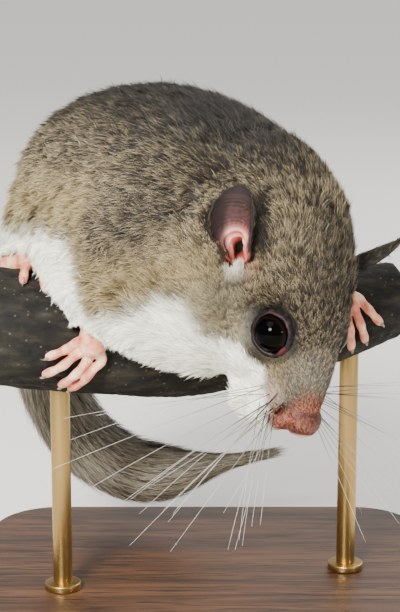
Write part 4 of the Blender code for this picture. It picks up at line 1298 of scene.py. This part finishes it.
def makeLid(name, side):
    place, out = eyeFrame(side)
    toNose = np.array((1.0, 0.0, -0.35))
    forward = unit(toNose - out * (out @ toNose))
    upward = np.cross(out, forward)
    rows = easedRows(lidShape["profile"], 2)
    points = []
    for across, height in rows:
        for step in range(lidShape["steps"]):
            turn = 2 * math.pi * step / lidShape["steps"]
            corner = max(math.cos(turn), 0.0) ** 14
            back = max(-math.cos(turn), 0.0) ** 18
            reach = across * (1 + 0.015 * math.sin(9 * turn)) + lidShape["canthus"] * (corner + 0.5 * back)
            crease = 0.05 * math.sin(14 * turn + across * 3) if 4.2 < across < 5.2 else 0.0
            rise = height - 0.25 * corner + crease
            arm = forward * math.cos(turn) + upward * math.sin(turn)
            points.append(place + arm * reach + out * rise)
    sides = lidShape["steps"]
    faces = bandFaces(len(rows), sides)
    if side > 0:
        faces = [face[:1] + face[:0:-1] for face in faces]
    made = meshFrom(name, fromSkull(points), faces)
    # where the lid is wet, and where it is pink at the corner toward the nose
    turns = np.tile(2 * math.pi * np.arange(sides) / sides, len(rows))
    reach = np.repeat(rows[:, 0], sides)
    setLayer(made.data, "wetEdge", ease(reach, 4.08, 3.95))
    setLayer(made.data, "corner", bell(np.sin((turns + 0.5 * side) / 2) * 2, 0.22))
    useModifier(made, "SOLIDIFY", thickness=0.25 * mm, offset=-1.0)
    return made


def lidMaterial():
    # the lids' bare edge: plum-brown and creased, wet where it meets the eye, pink at the inner corner
    made, tree, surface = blank("lidSkin", Roughness=0.6, Specular_IOR_Level=0.22)
    drift = cloudy(tree, placeIn(tree), 900.0, 5.0)
    main = ramp(tree, drift, (0.3, "080505"), (0.5, "150c0e"), (0.68, "3a2224"))
    paint(tree, surface, mixed(tree, reckon(tree, "MULTIPLY", layerOf(tree, "corner"), 0.6), main, "5a2422"))
    gloss = ranged(tree, layerOf(tree, "wetEdge"), toMin=0.6, toMax=0.14)
    tree.links.new(gloss, surface.inputs["Roughness"])
    dent(tree, surface, drift, 0.5, 0.0001)
    return made


def bareSkinMaterial(name, stops, scale, depth, roughness=0.5, specular=0.35):
    # thin living skin: colour drifts over a few millimetres, fine creases, soft inner glow
    glow = {"Subsurface_Weight": 0.25, "Subsurface_Radius": (1.0, 0.35, 0.25), "Subsurface_Scale": 0.0008}
    made, tree, surface = blank(name, Roughness=roughness, Specular_IOR_Level=specular, **glow)
    place = placeIn(tree)
    paint(tree, surface, ramp(tree, cloudy(tree, place, scale, 4.0), *stops))
    dent(tree, surface, cells(tree, place, scale * 5), 0.45, depth)
    return made


lidSkin = lidMaterial()
finishPiece(makeLid("lidRight", -1), lidSkin)
finishPiece(makeLid("lidLeft", 1), lidSkin)
print("lids")

# Ears

def earRelief(share, wide, tall, side):
    # over an ear's cup in millimetres from the canal: arches round it, the lobes beside it, faint ribs above;
    # front is the side toward the eye. Gives the relief and the marks that the material reads
    front = wide * -side
    round = np.hypot(tall, front * 0.95 + 0.12 * tall)
    arches = 0.55 * bell(round - 4.6, 0.5) + 0.42 * bell(round - 3.3, 0.38)
    ribs = 0.0
    for step in range(11):
        ring = 5.5 + 0.62 * step + 0.12 * math.sin(step * 5.0)
        ribs = ribs + (0.13 - 0.007 * step) * bell(round - ring, 0.2)
    above = ease(tall, -2.0, 0.8)
    lobes = 1.4 * bell((front - 2.0 + 0.1 * tall) / 0.85, 1) * bell((tall + 0.3) / 3.2, 1)
    lobes = lobes + 0.8 * bell((front + 2.4) / 0.8, 1) * bell((tall - 0.5) / 3.0, 1)
    # this canal mask sinks the relief and also sets where the material paints shade
    canal = bell(np.hypot((front + 0.75 - 0.25 * tall) / 0.95, (tall - 0.1) / 2.7) ** 1.5, 1)
    streak = np.sin(np.arctan2(front + 0.3, tall + 1.5) * 46 + 2 * np.sin(round * 1.7))
    streak = streak * ease(round, 4.8, 6.5)
    behind = ease(-front, 2.4, 4.2) * ease(tall, -1.0, 2.0)
    faint = 0.75 * ease(round, 4.8, 6.4)
    height = np.clip((round + 3.4 * behind + 0.5 * streak - 4.0 * ribs * faint) / 14.0, 0, 1)
    folds = np.clip((arches * 1.5 + ribs * 1.7) * above * (1 - faint) + lobes * 0.8, 0, 1)
    folds = folds * (1 - 0.8 * behind)
    columns = np.linspace(-1, 1, len(wide))
    edge = np.maximum(0.85 * ease(np.abs(columns), 0.86, 1.0) * ease(share, 0.2, 0.4),
                      0.6 * ease(columns * -side, 0.72, 0.9) * ease(share, 0.3, 0.4))
    return (arches + ribs) * above + lobes - canal, np.stack([height, canal, folds, edge], -1)


def makeEar(name, side):
    upward, facing, across, root = earAxes(side)
    columns = np.linspace(-1, 1, earShape["columns"] + 1)
    count = len(columns)
    rings, marks = [], []
    for share, radius, halfAngle in easedRows(earShape["curl"], 7) * (1, *earShape["narrow"][side]):
        deep = earShape["canal"] * float(ease(share, 0.34, 0.04))
        lean = np.interp(share, *zip(*earShape["lean"])) * side
        up = upward * earShape["length"] * share
        back = root + up - facing * (1.6 * share * share + deep) + across * lean
        turn = np.radians(halfAngle) * columns
        tall = np.full_like(turn, (share - 0.18) * earShape["length"])
        relief, mark = earRelief(share, turn * radius + lean, tall, side)
        thick = earShape["thick"] * (1 - 0.45 * max(share, 0))
        thick = thick * min(1.0, radius * math.radians(halfAngle) / 1.2)
        relief = np.minimum(relief * min(1.0, halfAngle / 40), radius * 0.6)
        inner, outer = (
            back + np.outer(radius - reach * np.cos(turn), facing) + np.outer(reach * np.sin(turn), across)
            for reach in (radius - relief, radius + thick))
        past, edge = turn[-1] + 0.5 * thick / radius, radius + thick * 0.4
        rims = [back + facing * (radius - edge * math.cos(past)) + across * edge * math.sin(past) * way
                for way in (1, -1)]
        rings.append(np.concatenate([inner, [rims[0]], outer[::-1], [rims[1]]]))
        rimMark = (share, 0, 0, 0.85 if share > 0.25 else 0.3)
        marks.append(np.array([*mark, rimMark, *[(share, 0, 0, 1.0)] * count, rimMark]))
    each = len(rings[0])
    points = np.concatenate(rings + [[rings[0].mean(0)], [rings[-1].mean(0)]])
    faces = bandFaces(len(rings), each)
    low, high, last = len(points) - 2, len(points) - 1, (len(rings) - 1) * each
    for step in range(each):
        faces.append((step, low, (step + 1) % each))
        faces.append((last + step, last + (step + 1) % each, high))
    made = meshFrom(name, fromSkull(points), faces)
    faceOut(made)
    setColours(made.data, "earMarks", np.concatenate(marks + [marks[0][:1], marks[-1][:1]]))
    return made


def earMaterial(name, topColour, cupColour):
    # thin ear skin: purple-brown at the top, pink folds in the cup, painted shade at the canal, brown behind
    made, tree, surface = blank(name, Roughness=0.6, Specular_IOR_Level=0.2, Subsurface_Weight=0.12,
                                Subsurface_Radius=(1.0, 0.3, 0.2), Subsurface_Scale=0.0006)
    place = placeIn(tree)
    marks = add(tree, "ShaderNodeAttribute", attribute_name="earMarks")
    parts = add(tree, "ShaderNodeSeparateColor", links={"Color": marks.outputs["Color"]})
    height, canal, fold = (parts.outputs[name] for name in ("Red", "Green", "Blue"))
    level = reckon(tree, "ADD", height, reckon(tree, "MULTIPLY", cloudy(tree, place, 420.0, 6.0), 0.18))
    colour = ramp(tree, level, (0.12, "84281c"), (0.30, "b2503f"), (0.42, cupColour), (0.53, topColour),
                  (0.8, "1c1210"))
    colour = mixed(tree, reckon(tree, "MULTIPLY", fold, 0.7), colour, "f0a79b")
    # painted shade: near-black red where the canal sinks in
    colour = mixed(tree, canal, colour, "2a0403")
    paint(tree, surface, mixed(tree, marks.outputs["Alpha"], colour, "0f0a08"))
    dent(tree, surface, cloudy(tree, place, 1400.0, 3.0), 0.35, 0.0001)
    return made


def hairOn(name, piece, spec, lie, markRule, thinRule):
    # short hair on one piece, grown on a triangle copy of it; the rules give its markings and where it grows
    copy = piece.copy()
    copy.data = piece.data.copy()
    bpy.context.scene.collection.objects.link(copy)
    useModifier(copy, "TRIANGULATE")
    unwrap(copy)
    count = len(copy.data.vertices)
    here = {"length": np.full(count, spec["length"]), "lie": np.tile(unit(lie) @ skullAxes, (count, 1)),
            "thin": thinRule(copy.data), "rise": np.zeros(count), "marks": markRule(copy.data)}
    made = growCoat(name, surfaceOf(copy, here), np.arange(len(copy.data.polygons)), spec)
    bpy.data.objects.remove(copy)
    return finishPiece(made, fur)


def earHairMarks(mesh):
    # dark with a little buff
    return np.tile((0.0, 0.75, 0.25, 0.0), (len(mesh.vertices), 1))


def earBack(mesh):
    # the ear's back and rims alone
    marks = np.zeros(len(mesh.vertices) * 4, np.float32)
    mesh.attributes["earMarks"].data.foreach_get("color", marks)
    return (marks.reshape(-1, 4)[:, 3] > 0.84).astype(float)


nearEar = earMaterial("earSkin", "3a2424", "7a3f36")
# the far ear's copy of the ear skin has darker colours: painted shade
farEarPaintedShade = earMaterial("earSkinShaded", "33201b", "4a2b24")
for name, side, earSkin, node in (("earRight", -1, nearEar, "ear_right"), ("earLeft", 1, farEarPaintedShade, "ear_left")):
    ear = finishPiece(makeEar(name, side), earSkin, (node,))
    spec = {**body, "count": 2600, "seed": 40 + side, "width": 0.09, "lift": 16.0, "length": 1.5, "even": 1.5}
    hairOn(name + "Hair", ear, spec, earAxes(side)[0], earHairMarks, earBack)
print("ears")

# Nose pad

noseShape = {"place": (14.9, 0.0, -6.8), "size": (4.75, 4.3, 3.75)}


def makeNose():
    bpy.ops.object.select_all(action="DESELECT")
    bpy.ops.mesh.primitive_uv_sphere_add(segments=96, ring_count=64, radius=1.0)
    nose = bpy.context.object
    nose.name = "nosePad"
    points = pointsOf(nose.data)
    f, l, u = points[:, 2].copy(), points[:, 0].copy(), points[:, 1].copy()     # the pole faces forward
    size = np.array(noseShape["size"])
    # wider above, narrow below, a groove down the middle, comma nostrils at the sides, fine furrows between
    wide = 1.0 + 0.06 * ease(u, -0.6, 0.5) - 0.20 * ease(u, -0.1, -1.0)
    local = np.stack([f * size[0], l * size[1] * wide, u * size[2]], -1)
    groove = 0.5 * bell(l, 0.07) * ease(f, 0.2, 0.7) * ease(u, 0.3, -0.3)
    nostril = 0.0
    for side in (1, -1):
        inner = np.hypot((f - 0.42) / 0.20, (u + 0.08) / 0.20)
        outer = np.hypot((f - 0.18) / 0.24, (u - 0.10) / 0.12)
        comma = np.maximum(bell(inner, 1.0), 0.9 * bell(outer, 1.0))
        nostril = nostril + 1.3 * comma * ease(l * side, 0.4, 0.75)
    furrow = np.sin(np.arctan2(l, u + 1.6) * 44 + 3.0 * np.sin(f * 5)) * 0.025 * ease(f, 1.0, 0.8)
    pebble = 0.09 * np.array([noise.noise(Vector(p) * 5.5) for p in points]) + furrow
    local = local - unit(points[:, [2, 0, 1]]) * (groove + nostril - pebble)[:, None]
    movePoints(nose.data, fromSkull(local + np.array(noseShape["place"])))
    faceOut(nose)
    # a pale patch low on the front is a painted highlight; the nostrils and the middle groove get painted
    # shade, and the furrows painted shade below
    pale = ease(0.88 * f - 0.45 * u, 0.72, 0.9)
    over = 0.9 * ease(u - 0.3 * f, 0.25, 0.95)
    hollowShade = np.clip(nostril + groove * 0.5, 0, 1)
    shades = {"hollowShade": hollowShade, "furrow": np.clip(0.4 - 14 * furrow, 0, 1), "paintedHighlight": pale, "top": over}
    for layerName, values in shades.items():
        setLayer(nose.data, layerName, values)
    smoothAll(nose.data)
    return nose


def noseMaterial():
    # wet bare nose skin: pink-brown, pebbled; painted shade inside the nostrils, in the middle groove and in
    # the fine furrows, and a painted highlight as a pale patch low on the front
    made, tree, surface = blank("noseLeather", Roughness=0.5, Specular_IOR_Level=0.25, Subsurface_Weight=0.2,
                                Subsurface_Radius=(1.0, 0.35, 0.25), Subsurface_Scale=0.0006)
    place = placeIn(tree)
    colour = ramp(tree, cloudy(tree, place, 600.0, 4.0), (0.3, "2a120b"), (0.5, "58291c"), (0.72, "875040"))
    # painted shade: darker all over, and darker still down the furrows
    colour = mixed(tree, reckon(tree, "MULTIPLY", layerOf(tree, "furrow"), 0.8), colour, "2e0f08")
    # painted highlight: a pale patch on the front of the nose
    colour = mixed(tree, reckon(tree, "MULTIPLY", layerOf(tree, "paintedHighlight"), 0.8), colour, "ecd3bd")
    colour = mixed(tree, layerOf(tree, "top"), colour, "3a1d14")
    # painted shade in the nostrils and the middle groove
    deep = ranged(tree, layerOf(tree, "hollowShade"), fromMin=0.25, fromMax=0.8)
    paint(tree, surface, mixed(tree, deep, colour, "100403"))
    dent(tree, surface, cells(tree, place, 3800.0), 0.4, 0.00008)
    return made


def makeNostrils(skin):
    # each side: a dark slanting slit, painted shade of the nostril opening, in the muzzle behind the nose,
    # with a fold before and behind it
    tree = kdtree.KDTree(len(skin.data.vertices))
    for v in skin.data.vertices:
        tree.insert(v.co, v.index)
    tree.balance()
    chain = np.stack([np.arange(8), np.arange(1, 9)], -1)
    slits, folds = [], []
    for side in (1, -1):
        for many, offset, lift, radius in ((slits, 0.0, 0.02, 0.36), (folds, -0.95, -0.1, 0.45),
                                           (folds, 0.95, -0.1, 0.45)):
            rows = []
            for t in np.linspace(-1, 1, 9):
                up = -7.6 + 1.6 * t + offset * 0.35 + 0.3 * t * t
                want = Vector(fromSkull((12.6 + offset * 0.9 - 0.5 * t, 5.4 * side, up)))
                near = skin.data.vertices[tree.find(want)[1]]
                place = np.array(near.co) + np.array(near.normal) * lift * mm
                rows.append((*place, radius * mm * math.sqrt(max(1 - (t * 0.94) ** 2, 0.05))))
            many.append(spread(rows, chain, 2))
    return tubes("nostrilSlits", slits, 12), tubes("nostrilFolds", folds, 12)


noseSkin = noseMaterial()
nose = finishPiece(makeNose(), noseSkin)


def noseTop(mesh):
    # hair over the nose but not on its front, where the highlight is painted, nor in its nostrils and middle
    # groove
    bare = readLayer(mesh, "paintedHighlight") + 1.5 * readLayer(mesh, "hollowShade")
    front = (toSkull(pointsOf(mesh)) - np.array(noseShape["place"])) @ unit((0.8, 0.0, -0.2))
    return np.clip(1 - bare, 0.0, 1.0) * ease(front, 3.7, 2.4)


def noseHairMarks(mesh):
    # red-brown, darker over the top
    over = readLayer(mesh, "top")
    return np.stack([0 * over, over, 0 * over, 1 - 0.6 * over], -1)


noseHair = {**body, "count": 3400, "seed": 51, "width": 0.085, "lift": 14.0, "length": 0.95, "even": 0.95,
            "swing": 16.0, "stray": 12.0, "tuft": 5, "gather": 0.5}
hairOn("noseHair", nose, noseHair, (0.75, 0.0, -0.25), noseHairMarks, noseTop)
slitPiece, foldPiece = makeNostrils(skin)
# the slits' near-black colour is painted shade for the nostril openings
slitShadeStops = ((0.3, "1c0603"), (0.55, "330d07"), (0.8, "4a170d"))
slitShadeSkin = bareSkinMaterial("nostrilShadeSkin", slitShadeStops, 700.0, 0.00006, roughness=0.9, specular=0.05)
finishPiece(slitPiece, slitShadeSkin)
finishPiece(foldPiece, noseSkin)
print("nose")

# Hands and feet

clawShape = {"length": 2.1, "radius": 0.48, "sides": 10}
# along a finger: share, lift over the grip, thickness; joints swell and the tip has a pad
fingerShape = ((0.0, 0.85, 1.12), (0.22, 1.0, 0.9), (0.45, 1.05, 1.02), (0.64, 0.75, 0.82), (0.85, 0.3, 0.98),
               (1.0, 0.0, 0.84))


def makePaw(name, spec):
    thick = spec["digit"]
    wrist, palm = onBark(*spec["wrist"][:3]), onBark(*spec["palm"][:3])
    wristRadius, palmRadius = spec["wrist"][3], spec["palm"][3]
    back = wrist + unit(wrist - palm) * 3.0
    rows = [(*back, wristRadius * 0.92), (*wrist, wristRadius * 0.95), (*palm, palmRadius)]
    many = [easedRows(rows, 5) * mm]
    claws = []
    for knuckle, tip in zip(np.array(spec["knuckles"]), np.array(spec["tips"])):
        rows = [(*palm, thick * 1.25)]
        for share, lift, size in fingerShape:
            x, angle = knuckle + (tip - knuckle) * share
            rows.append((*onBark(x, angle, thick - 0.35 + lift), thick * size))
        many.append(easedRows(rows, 4) * mm)
        end, before = np.array(rows[-1][:3]), np.array(rows[-3][:3])
        way, away = unit(end - before), unit(end - branchAt(tip[0])[0])
        base = end + away * 0.45 - way * 0.2
        claw = [(*(base + way * clawShape["length"] * t + away * (0.42 * math.sin(t * 2.6) - 0.5 * t * t)),
                 clawShape["radius"] * (1 - 0.86 * t ** 1.3)) for t in np.linspace(0, 1, 8)]
        claws.append(np.array(claw) * mm)
    paw = tubes(name, many, 16)
    useModifier(paw, "REMESH", mode="VOXEL", voxel_size=0.24 * mm)
    useModifier(paw, "SMOOTH", factor=0.5, iterations=5)
    smoothAll(paw.data)
    return paw, claws


pawStops = ((0.32, "c0624a"), (0.5, "e39a7c"), (0.66, "f6cba8"))
pawSkin = bareSkinMaterial("pawSkin", pawStops, 330.0, 0.0002)


def clawMaterial():
    # translucent horn: pinkish brown to pale in soft drifts
    made, tree, surface = blank("clawHorn", Roughness=0.3, IOR=1.55, Subsurface_Weight=0.2,
                                Subsurface_Scale=0.0004)
    drift = cloudy(tree, placeIn(tree), 900.0)
    paint(tree, surface, ramp(tree, drift, (0.3, "5a4739"), (0.55, "8f7966"), (0.8, "c9b8a2")))
    return made


allClaws = []
for name, spec in paws.items():
    paw, claws = makePaw(name, spec)
    finishPiece(paw, pawSkin, (spec["node"],))
    allClaws += claws
finishPiece(tubes("claws", allClaws, clawShape["sides"], False), clawMaterial())
print("paws and claws")

# Tail: a thin core with long locks along it

tailShape = {
    # x, y, z from the middle between the eyes, radius of the coat
    "line": ((-50.0, 55.0, 14.0, 6.0), (-58.0, 66.0, 8.0, 8.0), (-61.0, 73.0, -8.0, 10.5),
             (-60.0, 75.0, -26.0, 12.0), (-53.0, 73.0, -41.0, 12.0), (-42.0, 69.0, -49.0, 11.5),
             (-30.0, 65.0, -50.0, 9.5), (-18.0, 62.0, -47.0, 3.6)),
    "core": 0.2, "flat": 0.8, "gather": 0.75,
    "hairs": 28000, "length": 17.0, "width": 0.24, "locks": 760,
}
tailRows = easedRows(tailShape["line"], 12)
tailGone = np.concatenate([[0.0], np.cumsum(np.linalg.norm(np.diff(tailRows[:, :3], axis=0), axis=1))])
tailTotal = tailGone[-1]


def tailSpot(distance):
    # middle, radius, and the ways along, across and through the tail at distances from its root
    inside = np.clip(distance, 0, tailTotal)

    def rowAt(gone):
        gone = np.clip(gone, 0, tailTotal)
        return np.stack([np.interp(gone, tailGone, tailRows[:, i]) for i in range(4)], -1)

    row = rowAt(inside)
    ahead = unit(rowAt(inside + 2)[..., :3] - rowAt(inside - 2)[..., :3])
    across = unit(np.array((0.0, 1.0, 0.0)) - ahead * ahead[..., 1:2])
    middle = row[..., :3] + eyesMiddle + ahead * (distance - inside)[..., None]
    return middle, row[..., 3], ahead, across, np.cross(ahead, across)


def makeTailCoat(name, count, seed, longer):
    # hairs that run along the tail in locks, standing out most at its middle and closing at its tip
    draw = np.random.default_rng(seed)
    lockStart = draw.random(tailShape["locks"])
    lockTurn = draw.uniform(0, 2 * math.pi, tailShape["locks"])
    lock = draw.integers(0, tailShape["locks"], count)
    start = np.clip(lockStart[lock] + draw.normal(0, 0.016, count), 0, 1) * tailTotal * 0.985
    turn = lockTurn[lock] + draw.normal(0, 0.16, count)
    length = tailShape["length"] * longer * draw.uniform(0.75, 1.15, count)
    length = length * np.interp(start / tailTotal, (0, 0.12, 1), (0.45, 1.0, 1.0))
    rootRadius = tailSpot(start)[1]
    lean = draw.uniform(0.55, 1.0, count) ** 0.7
    tint = draw.random(count)
    spine, sides = [], []
    shares = np.array((0.0, 0.3, 0.64, 1.0))
    for share in shares:
        middle, radius, ahead, across, through = tailSpot(start + length * share)
        here = turn + (lockTurn[lock] - turn) * tailShape["gather"] * share
        out = across * np.cos(here)[:, None] + through * (np.sin(here) * tailShape["flat"])[:, None]
        reach = 0.16 + 0.80 * math.sin(share * math.pi / 2) ** 0.85 * lean
        reach = reach * np.maximum(radius, rootRadius * (1 - share))
        reach = reach * (1 - 0.7 * ease(start + length * share, tailTotal - 4.0, tailTotal + 9.0))
        spine.append(middle + out * reach[:, None])
        sides.append(unit(np.cross(ahead, out)))
    spine = np.stack(spine, 1) * mm
    spine[:, 1:] += draw.normal(0, 0.3 * mm, (count, 1, 3)) * np.array((0.4, 0.8, 1.6))[None, :, None]
    width = tailShape["width"] * mm * draw.uniform(0.7, 1.2, count)
    marks = np.zeros((count, 4))
    marks[:, 0] = np.clip(0.5 + 0.5 * np.sin(lockTurn[lock] * 3.0), 0, 1) * 0.3
    rootMap = np.stack([(turn / (2 * math.pi)) % 1.0, start / tailTotal], -1) * 0.98 + 0.01
    return bladeObject(name, spine, np.outer(width, (0.5, 0.45)), sides[0], shares, tint, marks, rootMap)


def tailCoatMaterial():
    # long silver-grey guard hair: dark root, grey band, pale silvery tip, slightly silky
    made, tree, surface = blank("silverHair", Roughness=0.55, Specular_IOR_Level=0.32)
    tint, along = strandOf(tree)
    pale = ramp(tree, along, (0.0, "221d16"), (0.45, "4c4336"), (0.8, "7f7461"), (1.0, "b8ae98"))
    dark = ramp(tree, along, (0.0, "1d1813"), (0.5, "383026"), (1.0, "5f5648"))
    paint(tree, surface, mixed(tree, ranged(tree, tint, fromMin=0.4, fromMax=0.6), pale, dark))
    return made


def makeTailCore():
    middle, radius = tailSpot(np.linspace(0, tailTotal - 12.0, 60))[:2]
    return tubes("tailCore", [np.concatenate([middle, (radius * tailShape["core"])[:, None]], 1) * mm], 24)


silver = tailCoatMaterial()
finishPiece(makeTailCoat("tailCoatInner", tailShape["hairs"], 21, 0.85), silver)
finishPiece(makeTailCoat("tailCoatOuter", tailShape["hairs"], 22, 1.1), silver)
# dense grey-brown underwool, seen only as depth between the tail's hairs
tailWool = blank("tailWool", Roughness=0.9, Base_Color="4a433b")[0]
finishPiece(makeTailCore(), tailWool, ("tail_1", "tail_2", "tail_3"))
print("tail")

# Whiskers

whiskerShape = {
    # roots on the pad, forward and up on the skull, and how far out from the middle each one sits
    "roots": ((8.2, -9.6, 7.9), (9.6, -8.6, 7.8), (8.0, -7.6, 8.2), (9.8, -7.0, 7.8), (11.2, -7.9, 7.4),
              (11.0, -6.3, 7.3), (12.2, -7.1, 7.0), (12.2, -5.4, 6.7), (10.2, -5.5, 7.5), (13.2, -6.3, 6.6),
              (13.2, -7.8, 6.7), (11.6, -9.2, 7.3), (12.8, -9.0, 6.9), (10.2, -10.2, 7.7), (13.6, -8.8, 6.5)),
    # for each side: the fan's first and last angle in the picture, then the slant toward the camera
    "fans": ((-1, 186.0, 262.0, (6.0, 34.0)), (1, -68.0, 6.0, (-30.0, 4.0))),
    "each": 2, "keep": 0.6, "lengths": (28.0, 52.0), "root": 0.062, "tip": 0.016,
    "farReach": 0.062,                  # metres to the picture's right that none goes past
    "places": 14, "sides": 5, "seed": 31,
}


def makeWhiskers():
    draw = np.random.default_rng(whiskerShape["seed"])
    view, roots, (low, high) = viewAxes(), whiskerShape["roots"], whiskerShape["lengths"]
    places, sides = whiskerShape["places"], whiskerShape["sides"]
    steps = np.linspace(0, 1, places)[:, None]
    many = []
    for side, first, last, slants in whiskerShape["fans"]:
        for number, (f, u, l) in enumerate(roots):
            for copy in range(whiskerShape["each"]):
                if draw.random() > whiskerShape["keep"]:
                    continue
                # the hindmost whiskers are the longest and sweep farthest back
                share = (number + 0.5 * copy + draw.uniform(-0.8, 0.8)) / len(roots)
                share = min(max(share, 0.0), 1.0)
                angle = first + (last - first) * share if side < 0 else last + (first - last) * share
                angle = math.radians(angle + draw.normal(0, 5.0))
                slant = math.radians(draw.uniform(*slants))
                flat = math.cos(slant)
                way = np.array((math.cos(angle) * flat, math.sin(angle) * flat, math.sin(slant))) @ view
                length = (high + (low - high) * share ** 0.8) * draw.uniform(0.75, 1.08)
                root = fromSkull((f + draw.uniform(-0.3, 0.3), side * (l - 0.5), u + draw.uniform(-0.3, 0.3)))
                room = (whiskerShape["farReach"] - root[0]) / (max(way[0], 0.05) * mm)
                length = min(length, room * draw.uniform(0.8, 1.0))
                bow = np.array((0.0, 0.0, -1.0)) * draw.uniform(-0.05, 0.28) + draw.normal(0, 0.05, 3)
                line = root + way * length * steps * mm + bow * length * steps ** 2 * 0.5 * mm
                radius = (whiskerShape["root"] * (1 - steps) + whiskerShape["tip"]) * mm
                many.append(np.concatenate([line, radius], 1))
    made = tubes("whiskers", many, sides, False)
    share = np.concatenate([np.repeat(steps[:, 0], sides), (0.0, 1.0)])
    setLayer(made.data, "alongHair", np.tile(share, len(many)))
    return made


def whiskerMaterial():
    # stiff glassy bristle: almost black near its root, clear white beyond
    made, tree, surface = blank("whiskerBristle", Roughness=0.3)
    stops = (0.0, "0c0807"), (0.18, "241c18"), (0.4, "8b837a"), (1.0, "e6e2da")
    paint(tree, surface, ramp(tree, layerOf(tree, "alongHair"), *stops))
    return made


finishPiece(makeWhiskers(), whiskerMaterial())
print("whiskers")
